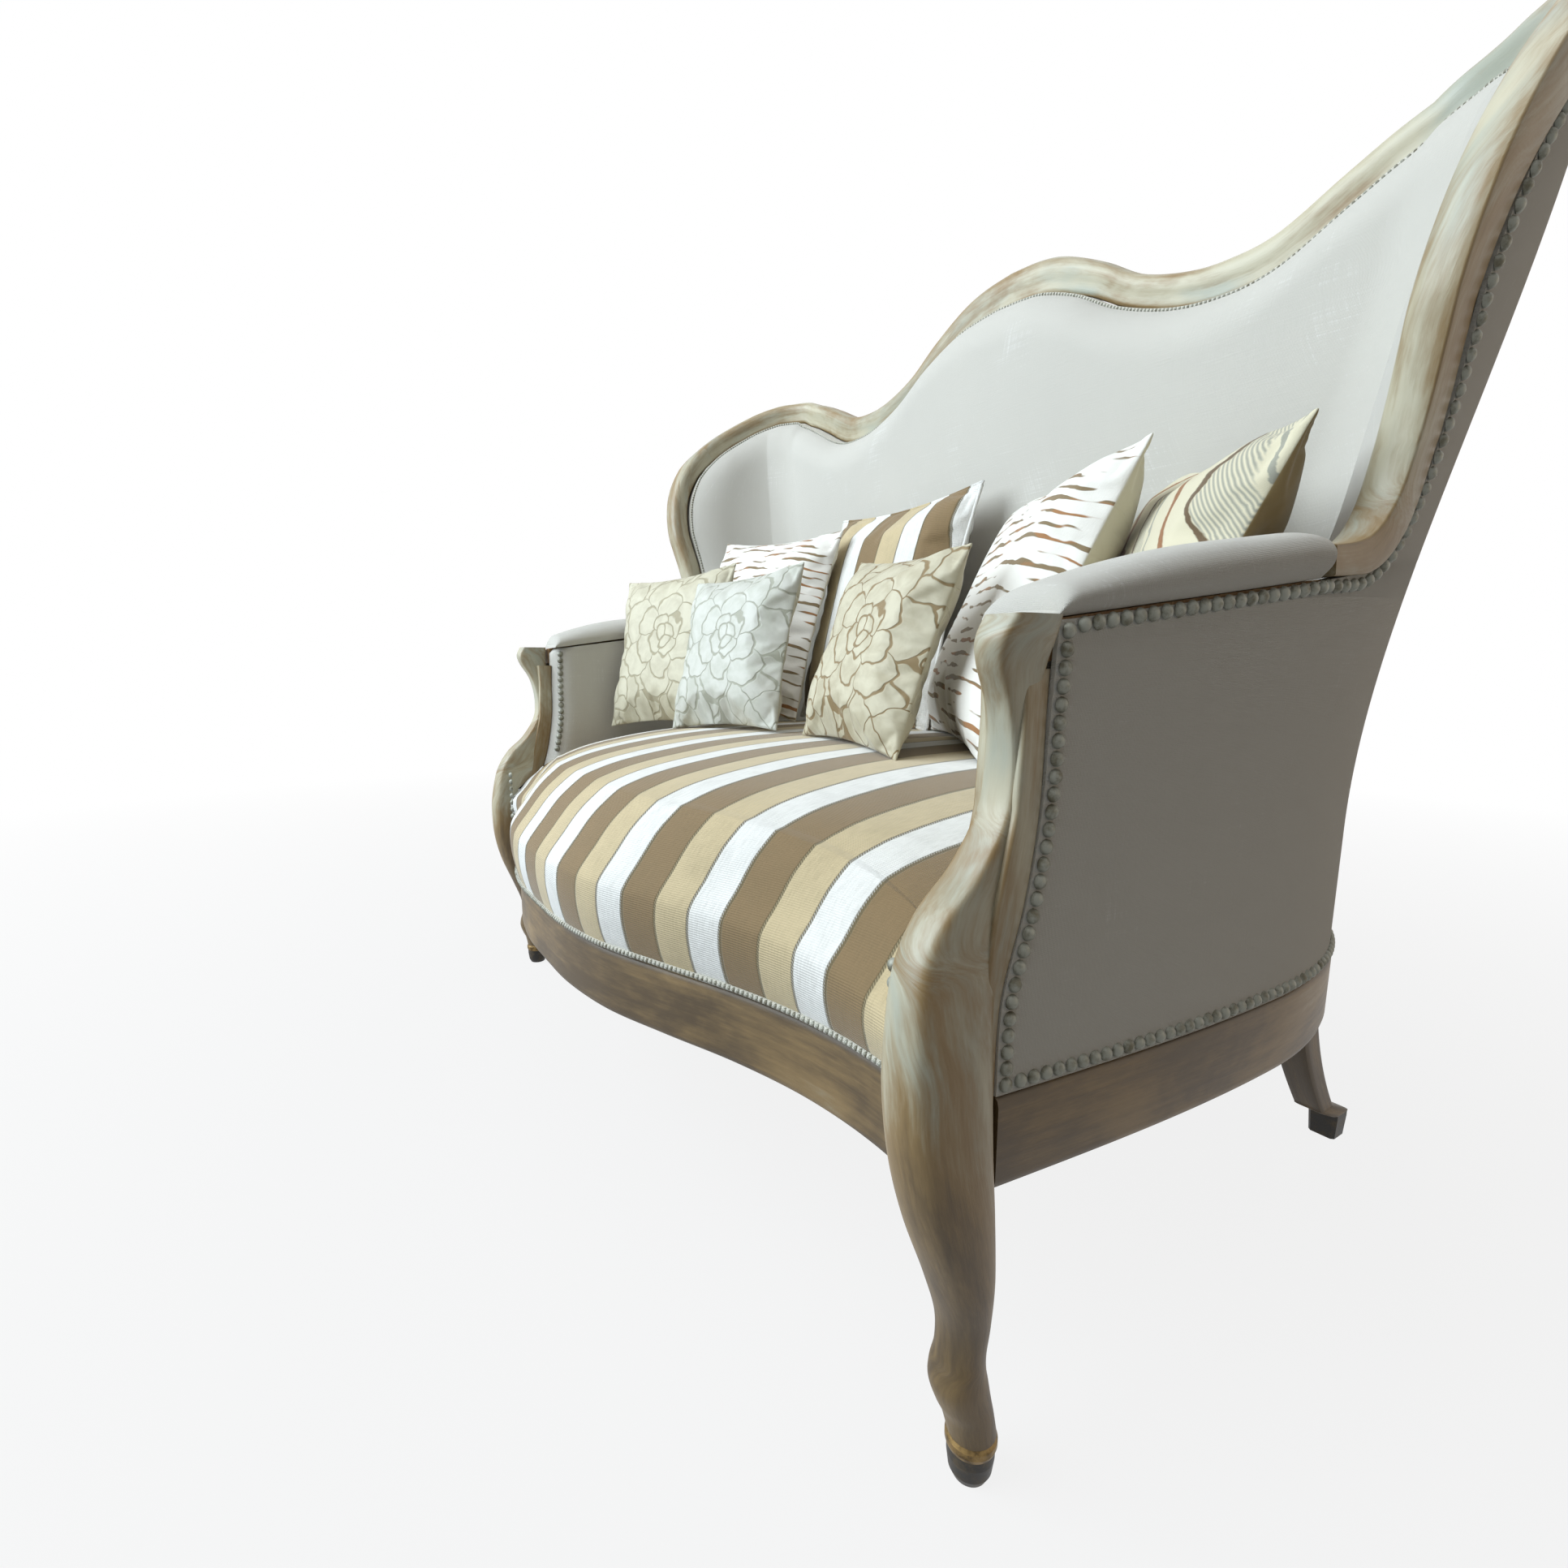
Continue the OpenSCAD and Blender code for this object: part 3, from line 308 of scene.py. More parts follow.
    def rim_at(self, t: Any) -> Array:
        """Outer edge of the back frame, from the middle of the hump round to the arm."""
        s = curve(self.rim_line, t)
        return self.at(s[..., 0], self.rim_z(s[..., 1]), 0.0)

    def rim_axes(self, t: Array) -> tuple[Array, Array]:
        """Directions into the sofa and across the back frame, the second as a cross product.

        Args:
            t: Shares of the way along the frame.

        Returns:
            Both directions at each share.
        """
        step = 0.004
        s = curve(self.rim_line, t)
        into = self.inward(s[..., 0], self.rim_z(s[..., 1]))
        along = unit(self.rim_at(np.clip(t + step, 0, 1)) - self.rim_at(np.clip(t - step, 0, 1)))
        across = unit(np.cross(along, into))
        across[t <= 0] = (0.0, 0.0, -1.0)
        return into, across

    def rim_width(self, t: Any) -> Array:
        """Width of the back frame along its line."""
        return self.rim_w * curve(self.rim_widths, t)

    def rim_edge(self, t: Array, more: float = 0.0) -> tuple[Array, Array]:
        """Station and height of the frame's inner edge, and of lines beside it.

        Args:
            t: Shares of the way along the frame.
            more: How far the line lies beyond the edge.

        Returns:
            The stations and the heights.
        """
        _, across = self.rim_axes(t)
        p = self.rim_at(t) + across * (self.rim_width(t) + self.rim_clear + more)[..., None]
        return self.station(p), p[..., 2]

    def edge_height(self, k: Any) -> Array:
        """Height of the frame's inner edge over a station, read along the part before it turns back.

        Args:
            k: Stations round the sofa, either side.

        Returns:
            The heights.
        """
        ks, zs = self.rim_edge(np.linspace(0, 1, 600))
        top = int(np.argmax(ks > self.turn_back)) or len(ks)
        return np.interp(np.abs(k), np.maximum.accumulate(ks[:top]), zs[:top])

    def arm_foot(self) -> tuple[float, float]:
        """Station and height at which the arm line meets the back frame."""
        ks, zs = self.rim_edge(np.array([1.0]))
        return float(ks[0]), float(zs[0])

    def arm_line(self, k: Any) -> Array:
        """Height of the arm's upper line, straight in stations from the frame's foot to the post.

        Args:
            k: Stations round the sofa.

        Returns:
            The heights.
        """
        rear_k, rear_z = self.arm_foot()
        return lerp(rear_z, self.arm_front_z, np.clip((np.asarray(k) - rear_k) / (3 - rear_k), 0, 1))

    def side_edge(self, z: Any) -> Array:
        """Station at which a side panel ends at each height: the post, the arm line or the frame.

        Args:
            z: Heights above the floor.

        Returns:
            The stations.
        """
        rear_k, rear_z = self.arm_foot()
        ks, zs = self.rim_edge(np.linspace(1, 0, 600))
        keep = (zs > rear_z + 2.5 * self.rim_clear) & (ks > self.side_stop - 0.05)
        under = [self.rail_low, self.arm_front_z - self.rim_clear, rear_z - 3 * self.rim_clear]
        heights = np.concatenate([under, np.maximum.accumulate(zs[keep])])
        return np.interp(z, heights, np.concatenate([[3.0, 3.0, rear_k], ks[keep]]))

    def bow_at(self, x: Any) -> Array:
        """Depth of the serpentine front rail, smooth through its knots from middle to foot."""
        return -self.front_bow * curve(self.bow_line, np.abs(x) / self.foot_x)


PLAN = SofaPlan()


# Meshes from grids

@dataclass
class Grid:
    """Points in rows and columns that make one skin, with the fields that finishes read.

    Attributes:
        points: Rows by columns by three.
        ring: True if each row closes on itself.
        capped: True if the first and last rows are filled, by strips from each half to the other.
        fields: Named values on the same rows and columns, numbers or vectors.
    """

    points: Array
    ring: bool = False
    capped: bool = False
    fields: dict[str, Array] = field(default_factory=dict)

    def faces(self, start: int) -> list[tuple[int, ...]]:
        """Four-sided faces between neighbours, and the caps.

        Args:
            start: Number of the grid's first point in the mesh.

        Returns:
            The corners of each face.
        """
        rows, cols = self.points.shape[:2]
        i = np.arange(rows - 1)[:, None]
        j = np.arange(cols if self.ring else cols - 1)[None, :]
        a, b = i * cols + j, i * cols + (j + 1) % cols
        quads = (np.stack([a, b, b + cols, a + cols], -1).reshape(-1, 4) + start).tolist()
        if self.capped:
            near = np.arange(cols // 2)
            far = cols - 1 - near
            strip = np.stack([near[:-1], near[1:], far[1:], far[:-1]], -1)
            for first in (start, start + (rows - 1) * cols):
                quads += (strip + first).tolist()
                if cols % 2:
                    quads.append([first + near[-1], first + near[-1] + 1, first + far[-1]])
        return quads


def slab(one: Array, other: Array, fields: dict[str, Array] | None = None) -> Grid:
    """A closed sheet between two facing grids: each row runs along one and back along the other.

    Args:
        one: The side that shows.
        other: The side behind it.
        fields: Values on the side that shows, repeated behind.

    Returns:
        A ring grid with its ends filled.
    """
    wrap = {name: np.concatenate([v, v[:, ::-1]], 1) for name, v in (fields or {}).items()}
    return Grid(np.concatenate([one, other[:, ::-1]], 1), True, True, wrap)


def cloth_field(points: Array) -> dict[str, Array]:
    """Cloth measure of a grid as a field: running length across, running length along, and zero."""
    across, along = lengths(points, 1), lengths(points, 0)
    return {"cloth": np.stack([across - across.mean(), along, np.zeros_like(along)], -1)}


def new_piece(name: str, grids: Sequence[Grid], sharp: float = 50.0) -> Piece:
    """Makes one object of several grids, with their fields as point attributes.

    Args:
        name: Name of the piece.
        grids: Skins of the piece.
        sharp: Edges bent by more degrees than this stay crisp.

    Returns:
        The object, linked to the scene and riding on the one body.
    """
    points, faces, start = [], [], 0
    for grid in grids:
        faces += grid.faces(start)
        points.append(grid.points.reshape(-1, 3))
        start += len(points[-1])
    mesh = bpy.data.meshes.new(name)
    mesh.from_pydata(np.concatenate(points).tolist(), [], faces)
    for key in sorted({key for grid in grids for key in grid.fields}):
        parts = []
        for grid in grids:
            blank = np.zeros(grid.points.shape[:2] + ((3,) if key in ("grain", "cloth") else ()))
            parts.append(np.asarray(grid.fields.get(key, blank), float).reshape(-1, *blank.shape[2:]))
        values = np.concatenate(parts)
        kind, slot = ("FLOAT_VECTOR", "vector") if values.ndim == 2 else ("FLOAT", "value")
        mesh.attributes.new(key, kind, "POINT").data.foreach_set(slot, values.ravel())
    return settle(bpy.data.objects.new(name, mesh), sharp)


def settle(piece: Piece, sharp: float) -> Piece:
    """Links a piece, turns its faces outward, smooths it and lets it ride on the body.

    Args:
        piece: The new piece.
        sharp: Edges bent by more degrees than this stay crisp.

    Returns:
        The piece.
    """
    bpy.context.scene.collection.objects.link(piece)
    work = bmesh.new()
    work.from_mesh(piece.data)
    bmesh.ops.remove_doubles(work, verts=work.verts, dist=1e-6)
    bmesh.ops.recalc_face_normals(work, faces=work.faces)
    work.to_mesh(piece.data)
    work.free()
    piece.data.polygons.foreach_set("use_smooth", np.ones(len(piece.data.polygons), bool))
    piece.data.set_sharp_from_angle(angle=math.radians(sharp))
    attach(piece, "root")
    return piece


def points_of(mesh: bpy.types.Mesh) -> Array:
    """All points of a mesh as one array.

    Args:
        mesh: The mesh.

    Returns:
        Its points, one to a row.
    """
    flat = np.empty(len(mesh.vertices) * 3)
    mesh.vertices.foreach_get("co", flat)
    return flat.reshape(-1, 3)


def beads(centres: Array, normals: Array, radius: float, height: float, rings: int = 5,
          sides: int = 12) -> Array:
    """Domes set on a line: each is a quarter circle of rings turned round its own normal.

    Args:
        centres: Middle of each dome's base.
        normals: Direction in which each dome stands up.
        radius: Radius of the base.
        height: Height of the crown.
        rings: Rings from base to crown.
        sides: Points in a ring.

    Returns:
        Points by dome, ring, place in the ring and axis.
    """
    upright, crown_share = 0.9, 0.97
    n = unit(normals)
    side = unit(np.cross(n, np.where(np.abs(n[:, 2:]) < upright, [UP], [[1.0, 0.0, 0.0]])))
    up = np.cross(n, side)
    rise = np.linspace(0, math.pi / 2 * crown_share, rings)
    turn = np.linspace(0, 2 * math.pi, sides, endpoint=False)
    circle = (side[:, None, None] * np.cos(turn)[None, None, :, None]
              + up[:, None, None] * np.sin(turn)[None, None, :, None])
    flat = circle * (radius * np.cos(rise))[None, :, None, None]
    lift = n[:, None, None] * (height * np.sin(rise))[None, :, None, None]
    return centres[:, None, None] + flat + lift


def dome_piece(name: str, rows: Sequence[Array]) -> Piece:
    """One object of many separate domes, each closed at its crown and its base."""
    return new_piece(name, [Grid(dome, True, True) for row in rows for dome in row], 80.0)


def spaced(points: Array, normals: Array, pitch: float) -> tuple[Array, Array]:
    """Places at an even pitch along a line of points, with the normals there.

    Args:
        points: Points along the line.
        normals: Normals at those points.
        pitch: Distance from one place to the next, fitted to a whole number.

    Returns:
        The places and their normals.
    """
    run = lengths(points)
    count = max(2, int(round(run[-1] / pitch)) + 1)
    marks = np.linspace(0, run[-1], count)
    pick = lambda values: np.stack([np.interp(marks, run, values[:, i]) for i in range(3)], -1)
    return pick(points), unit(pick(normals))


def tube(path: Array, radius: float, sides: int = 10, closed: bool = False) -> Grid:
    """A round cord along a path: a circle in the plane across each step.

    Args:
        path: Points along the middle.
        radius: Radius of the cord.
        sides: Points in each circle.
        closed: True if the path returns to its start.

    Returns:
        A ring grid along the path.
    """
    line = np.concatenate([path, path[:1]]) if closed else path
    ahead = unit(np.gradient(line, axis=0))
    if closed:
        ahead[0] = ahead[-1] = unit(ahead[0] + ahead[-1])
    off_upright = UP + [0.03, 0.02, 0.0]
    first = unit(np.cross(ahead, off_upright))
    second = np.cross(ahead, first)
    turn = np.linspace(0, 2 * math.pi, sides, endpoint=False)
    ring = first[:, None] * np.cos(turn)[None, :, None] + second[:, None] * np.sin(turn)[None, :, None]
    return Grid(line[:, None] + radius * ring, True, not closed)


# Shader arithmetic

class Field:
    """One shader value that varies over a surface, with the usual arithmetic."""

    def __init__(self, nodes: "Nodes", socket: bpy.types.NodeSocket) -> None:
        """Keeps the tree that owns the value and the socket that gives it."""
        self.nodes = nodes
        self.socket = socket

    def with_(self, operation: str, other: Any = None) -> "Field":
        """The value after one operation, alone or with another value."""
        return self.nodes.maths(operation, self, other)

    def __add__(self, other: Any) -> "Field":
        """Sum."""
        return self.with_("ADD", other)

    def __sub__(self, other: Any) -> "Field":
        """Difference."""
        return self.with_("SUBTRACT", other)

    def __rsub__(self, other: Any) -> "Field":
        """Difference from a number."""
        return self.nodes.maths("SUBTRACT", other, self)

    def __mul__(self, other: Any) -> "Field":
        """Product."""
        return self.with_("MULTIPLY", other)

    def __truediv__(self, other: Any) -> "Field":
        """Quotient."""
        return self.with_("DIVIDE", other)

    __radd__ = __add__
    __rmul__ = __mul__

    def rise(self, low: float, high: float) -> "Field":
        """Smooth step between two levels.

        Args:
            low: Level at which the step is 0.
            high: Level at which it is 1, which may be the lower one.

        Returns:
            The step.
        """
        ends = {"From Min": min(low, high), "From Max": max(low, high)}
        step = self.nodes.node("MapRange", {"Value": self, **ends}, interpolation_type="SMOOTHSTEP")
        return step if low < high else 1.0 - step

    def split(self) -> tuple["Field", ...]:
        """The three parts of a vector."""
        parts = self.nodes.node("SeparateXYZ", {"Vector": self}).socket.node.outputs
        return tuple(Field(self.nodes, part) for part in parts)


class Nodes:
    """The node tree of a material or of the world, built from fields."""

    def __init__(self, owner: Finish | bpy.types.World) -> None:
        """Starts with an empty tree.

        Args:
            owner: Material or world that has the tree.
        """
        owner.use_nodes = True
        self.owner, self.tree = owner, owner.node_tree
        self.tree.nodes.clear()

    def feed(self, socket: bpy.types.NodeSocket, value: Any) -> None:
        """Links a field to a socket, or writes a plain value on it.

        Args:
            socket: Input of a node.
            value: Field, number, vector or colour.
        """
        if isinstance(value, Field):
            self.tree.links.new(value.socket, socket)
        else:
            socket.default_value = value

    def node(self, kind: str, sockets: dict[int | str, Any] | None = None, output: int | str = 0,
             **settings: Any) -> Field:
        """Adds a node of any type.

        Args:
            kind: Type of the shader node.
            sockets: Values or fields for its inputs, by name or number.
            output: Name or number of the output to use.
            **settings: Settings of the node, which are made first.

        Returns:
            The chosen output.
        """
        made = self.tree.nodes.new("ShaderNode" + kind)
        for key, value in settings.items():
            setattr(made, key, value)
        for key, value in (sockets or {}).items():
            self.feed(made.inputs[key], value)
        return Field(self, made.outputs[output])

    def maths(self, operation: str, a: Any, b: Any = None) -> Field:
        """One step of arithmetic, on vectors where either side is one.

        Args:
            operation: Name of the operation.
            a: First value.
            b: Second value, if the operation takes one.

        Returns:
            The result.
        """
        vector = any(isinstance(v, tuple) or isinstance(v, Field) and v.socket.type == "VECTOR"
                     for v in (a, b))
        values = [(v,) * 3 if vector and isinstance(v, (int, float)) else v for v in (a, b)]
        sockets = {i: v for i, v in enumerate(values) if v is not None}
        return self.node("VectorMath" if vector else "Math", sockets, operation=operation)

    def seen(self) -> Field:
        """Share that is 1 where the camera, a reflection or glass looks at a surface.

        Returns:
            The clamped sum of the three kinds of ray.
        """
        rays = self.node("LightPath").socket.node.outputs
        share = Field(self, rays["Is Camera Ray"])
        for name in ("Is Glossy Ray", "Is Transmission Ray"):
            both = {0: share, 1: Field(self, rays[name])}
            share = self.node("Math", both, operation="ADD", use_clamp=True)
        return share

    def close(self, surface: Field) -> None:
        """Ends the tree in its output.

        Args:
            surface: The last shader.
        """
        world = isinstance(self.owner, bpy.types.World)
        out = self.tree.nodes.new("ShaderNodeOutputWorld" if world else "ShaderNodeOutputMaterial")
        self.feed(out.inputs["Surface"], surface)


class Shader(Nodes):
    """Builds one procedural material."""

    seam_blur = 0.0004

    def __init__(self, name: str) -> None:
        """Starts a material without nodes."""
        super().__init__(bpy.data.materials.new(name))

    def place(self) -> Field:
        """Place on the object, in metres."""
        return self.node("TexCoord", output="Object")

    def stored(self, name: str, output: str = "Vector") -> Field:
        """A field that the mesh carries."""
        return self.node("Attribute", output=output, attribute_name=name)

    def joined(self, x: Any, y: Any, z: Any = 0.0) -> Field:
        """A vector from three values."""
        return self.node("CombineXYZ", {"X": x, "Y": y, "Z": z})

    def noise(self, at: Field, scale: float, detail: float = 3.0, rough: float = 0.55,
              bend: float = 0.0) -> Field:
        """Soft noise from 0 to 1 about a half.

        Args:
            at: Place at which it is read.
            scale: Waves in a metre, or in a unit of the place.
            detail: Finer layers on top.
            rough: Strength of each layer by the one before.
            bend: How far the noise bends itself.

        Returns:
            The noise.
        """
        sockets = {"Vector": at, "Scale": scale, "Detail": detail, "Roughness": rough, "Distortion": bend}
        return self.node("TexNoise", sockets, "Fac")

    def blots(self, x: Field, y: Field, seed: float = 0.0, scale: float = 1.0) -> Field:
        """Broad noise over a pillow's face."""
        return self.noise(self.joined(x, y, seed), scale, 2.0)

    def mix(self, share: Any, a: Any, b: Any) -> Field:
        """Blend of two colours by a share, on the colour sockets of the node."""
        return self.node("Mix", {0: share, 6: a, 7: b}, 2, data_type="RGBA")

    def backed(self, face: Field, front: Field, back: Colour) -> Field:
        """Colour of a pillow's cover, which changes at the seam.

        Args:
            face: Distance behind the seam.
            front: Colour of the front.
            back: Colour of the back.

        Returns:
            The colour of both faces.
        """
        return self.mix(face.rise(-self.seam_blur, self.seam_blur), front, back)

    def relief(self, height: Field, depth: float, strength: float) -> Field:
        """Bumps of a height in metres."""
        return self.node("Bump", {"Height": height, "Distance": depth, "Strength": strength})

    def finish(self, base: Any, roughness: Any, normal: Field, **fixed: float) -> Finish:
        """Makes the main shader.

        Args:
            base: Colour, even or varying.
            roughness: Roughness, even or varying.
            normal: Relief of the surface.
            **fixed: Even values for other sockets by name, with _ for a space.

        Returns:
            The finished material.
        """
        sockets = {"Base Color": base, "Roughness": roughness, "Normal": normal}
        sockets.update((key.replace("_", " "), value) for key, value in fixed.items())
        self.close(self.node("BsdfPrincipled", sockets))
        return self.owner


# Finishes

@dataclass(frozen=True)
class PaintedWood:
    """Cream and grey-green paint, rubbed through to gold and brown along edges and hollows, with painted
    shade that browns the wood below the seat.
    """

    paint: Colour = colour(180, 174, 150)
    cool: Colour = colour(156, 160, 146)
    gold: Colour = colour(128, 104, 64)
    brown: Colour = colour(70, 54, 28)
    wear: float = 0.42
    # Heights of the painted shade under the seat: gone above the first, full below the second.
    shade_fade_z: tuple[float, float] = (0.52, 0.10)

    def build(self) -> Finish:
        """Broad patches and brushed streaks that follow the length of each piece, and painted shade that
        browns the wood below the seat.

        Returns:
            The material.
        """
        s = Shader("painted_wood")
        grain = s.stored("grain")
        worn = s.stored("worn", "Fac")
        broad = s.noise(grain * (1.0, 1.0, 0.42), 11.0, 4.0, 0.6, 0.4)
        streak = s.noise(grain * (1.0, 1.0, 0.05), 150.0, 3.0, 0.6)
        fine = s.noise(grain * (1.0, 1.0, 0.2), 420.0, 2.0)
        # Painted shade: below the seat the wood turns gold and brown by height alone.
        low = s.place().split()[2].rise(*self.shade_fade_z)
        # Real wear from patches, streaks and worn edges, summed with the painted shade low down.
        wear_and_shade = broad * 0.9 + streak * 0.22 + fine * 0.08 + worn * 0.30 + low * 0.34
        patch = s.noise(grain * (1.0, 1.0, 0.3), 17.0, 3.0)
        tint = s.mix(patch.rise(0.40, 0.66), self.paint, self.cool)
        # Gold and brown come in where wear and painted shade together pass the wear level.
        tint = s.mix(wear_and_shade.rise(self.wear + 0.10, self.wear + 0.36), tint, self.gold)
        tint = s.mix(wear_and_shade.rise(self.wear + 0.30, self.wear + 0.58), tint, self.brown)
        lost = 0.8 * wear_and_shade.rise(self.wear + 0.1, self.wear + 0.2) * -1.0
        bumps = s.relief(streak + 0.5 * fine + lost, 0.0006, 0.5)
        return s.finish(tint, 0.36 + 0.22 * wear_and_shade, bumps, Coat_Weight=0.18, Coat_Roughness=0.30)


@dataclass(frozen=True)
class BareWood:
    """Plain beech of the hidden carcass, with long grain and small flecks."""

    pale: Colour = colour(205, 170, 124)
    dark: Colour = colour(160, 120, 78)

    def build(self) -> Finish:
        """Grain drawn out along the height, with flecks across it.

        Returns:
            The material.
        """
        s = Shader("bare_wood")
        at = s.place()
        grain = s.noise(at * (1.0, 1.0, 0.08), 60.0, 5.0, 0.6, 0.6)
        fleck = s.noise(at * (1.0, 1.0, 0.25), 500.0, 2.0)
        tint = s.mix((grain + 0.25 * fleck).rise(0.45, 0.85), self.pale, self.dark)
        return s.finish(tint, 0.6, s.relief(grain + fleck, 0.0004, 0.4))


class Metal(Enum):
    """The metals and dark shoes on the sofa, with base, spots, roughness and metal share."""

    TOE_CAP = ("toe_cap", colour(34, 31, 27), colour(70, 60, 44), 0.42, 0.25)
    TOE_RING = ("toe_ring", colour(132, 108, 66), colour(70, 54, 30), 0.38, 0.7)
    NAIL = ("nail_metal", colour(140, 141, 130), colour(92, 88, 70), 0.46, 0.30)


@dataclass(frozen=True)
class CastMetal:
    """A worn metal surface with spots and fine scratches."""

    kind: Metal

    def build(self) -> Finish:
        """Spots of tarnish in the hollows of a soft noise.

        Returns:
            The material.
        """
        name, base, spots, rough, metal = self.kind.value
        s = Shader(name)
        at = s.place()
        stain = s.noise(at, 90.0, 4.0, 0.6)
        scratch = s.noise(at * (1.0, 0.2, 1.0), 900.0, 2.0)
        tint = s.mix(stain.rise(0.42, 0.70), base, spots)
        bumps = s.relief(stain + 0.3 * scratch, 0.0004, 0.35)
        return s.finish(tint, rough - 0.08 + 0.3 * stain, bumps, Metallic=metal)


def weave(cloth: Field, pitch: float) -> Field:
    """Height of a plain weave: the size of the product of two crossed sines.

    Args:
        cloth: Measure along and across the cloth.
        pitch: Distance from thread to thread.

    Returns:
        The height, from 0 to 1.
    """
    u, v, _ = cloth.split()
    over = (u * (math.pi / pitch)).with_("SINE") * (v * (math.pi / pitch)).with_("SINE")
    return over.with_("ABSOLUTE")


@dataclass(frozen=True)
class WhiteCloth:
    """The sofa's plain off-white upholstery, a fine plain weave with slubs."""

    white: Colour = colour(226, 225, 221)
    shade: Colour = colour(198, 195, 186)
    pitch: float = 0.0011
    threads: float = 420.0
    slub: float = 0.03

    def build(self) -> Finish:
        """Weave relief with faint slubs both ways and soft clouds of tone.

        Returns:
            The material.
        """
        s = Shader("white_fabric")
        cloth = s.stored("cloth")
        slub = (s.noise(cloth * (1.0, self.slub, 1.0), self.threads, 3.0)
                + s.noise(cloth * (self.slub, 1.0, 1.0), self.threads, 3.0))
        cloud = s.noise(s.place(), 6.0, 3.0)
        tint = s.mix((slub * 0.5 + cloud * 0.6).rise(0.42, 0.72), self.white, self.shade)
        bumps = s.relief(weave(cloth, self.pitch) + slub, 0.0006, 0.55)
        return s.finish(tint, 0.86, bumps, Sheen_Weight=0.25, Sheen_Roughness=0.5)


class StripeSet(Enum):
    """Runs of stripes: a tone and a width in metres for each stripe of one repeat."""

    SEAT = (("brown", 0.048), ("beige", 0.044), ("white", 0.043))
    PILLOW = (("white", 0.044), ("brown", 0.050), ("beige", 0.050), ("white", 0.052),
              ("brown", 0.058), ("beige", 0.060), ("white", 0.050), ("brown", 0.050))


@dataclass(frozen=True)
class StripedCloth:
    """Ribbed chenille stripes with fine dark lines between them."""

    stripes: StripeSet
    start: float
    name: str = "striped_fabric"
    tones: tuple = (("white", colour(226, 225, 220)), ("beige", colour(192, 175, 138)),
                    ("brown", colour(126, 104, 70)))
    line: Colour = colour(88, 78, 50)
    line_w: tuple[float, float] = (0.0023, 0.0011)
    line_d: float = 0.0012
    last_d: float = 0.0004
    blur: float = 0.0006
    waver: float = 0.0012
    twill: float = 0.0032
    row: float = 0.0024

    def line_at(self, off: Field) -> Field:
        """One fine line, at a distance from its middle."""
        return off.with_("ABSOLUTE").rise(*self.line_w)

    def build(self) -> Finish:
        """Each stripe starts with a smooth step over the place in the repeat, and with a line.

        Returns:
            The material.
        """
        s = Shader(self.name)
        cloth = s.stored("cloth")
        across, along, _ = cloth.split()
        table = dict(self.tones)
        repeat = sum(width for _, width in self.stripes.value)
        wave = s.noise(cloth * (0.2, 1.0, 1.0), 60.0, 2.0) - 0.5
        spot = ((across - self.start + self.waver * wave) / repeat).with_("FRACT") * repeat
        first, width = self.stripes.value[0]
        tint, edge = table[first], width
        lines = self.line_at(spot - self.line_d)
        for tone, width in self.stripes.value[1:]:
            tint = s.mix(spot.rise(edge - self.blur, edge + self.blur), tint, table[tone])
            lines = lines.with_("MAXIMUM", self.line_at(spot - edge - self.line_d))
            edge += width
        lines = lines.with_("MAXIMUM", self.line_at(spot - repeat + self.last_d))
        nap = s.noise(cloth * (1.0, 0.10, 1.0), 520.0, 3.0) * 0.6 + s.noise(cloth, 26.0, 4.0, 0.6) * 0.5
        shaded = s.mix(nap.rise(0.42, 0.78) * 0.35, tint, s.mix(0.55, tint, self.line))
        ribs = ((across + along) * (2 * math.pi / self.twill)).with_("SINE") * 0.5 + 0.5
        marked = s.mix(lines * (0.55 + 0.45 * ribs), shaded, self.line)
        rows = (along * (2 * math.pi / self.row)).with_("SINE") * 0.35
        bumps = s.relief(nap + rows - lines * 0.9, 0.0010, 0.5)
        return s.finish(marked, 0.80, bumps, Sheen_Weight=0.35, Sheen_Roughness=0.4)


@dataclass(frozen=True)
class TigerCloth:
    """White ground with broken brown dashes like a tiger's coat, and a cream back."""

    ground: Colour = colour(226, 223, 215)
    dark: Colour = colour(122, 104, 74)
    rust: Colour = colour(152, 108, 66)
    back: Colour = colour(214, 208, 188)
    pitch: float = 0.0168
    bend: float = 0.035
    fork: float = 0.010

    def build(self) -> Finish:
        """Dashes are the crests of a wavy sine across the height, broken by a drawn-out noise.

        Returns:
            The material.
        """
        s = Shader("tiger_fabric")
        cloth = s.stored("cloth")
        u, v, face = cloth.split()
        bend, fork = s.blots(u * 7.0, v * 5.0) - 0.5, s.blots(u * 22.0, v * 30.0) - 0.5
        crest = ((v + self.bend * bend + self.fork * fork) * (2 * math.pi / self.pitch)).with_("SINE")
        breaks = s.noise(s.joined(u * 12.0, v * 58.0, 3.0), 1.0, 2.0, 0.5)
        dash = (crest * 0.5 + 0.5 + (breaks - 0.5) * 2.2).rise(0.86, 1.0)
        change = s.blots(u * 16.0, v * 40.0, 9.0)
        brown = s.mix(change.rise(0.50, 0.60), self.dark, self.rust)
        tint = s.backed(face, s.mix(dash, self.ground, brown), self.back)
        nap = s.noise(cloth * (1.0, 0.3, 1.0), 700.0, 3.0)
        bumps = s.relief(nap + dash * 0.8, 0.0009, 0.45)
        return s.finish(tint, 0.82, bumps, Sheen_Weight=0.3, Sheen_Roughness=0.45)


@dataclass(frozen=True)
class Bloom:
    """One flower of a woven pattern, as shares of the pillow's half side.

    Attributes:
        x: Middle across.
        y: Middle up.
        radius: Radius of its outer petals.
        rings: Petals in each ring, from the outside in.
        turn: Turn of the first ring in radians.
    """

    x: float
    y: float
    radius: float
    rings: tuple[int, ...]
    turn: float = 0.0


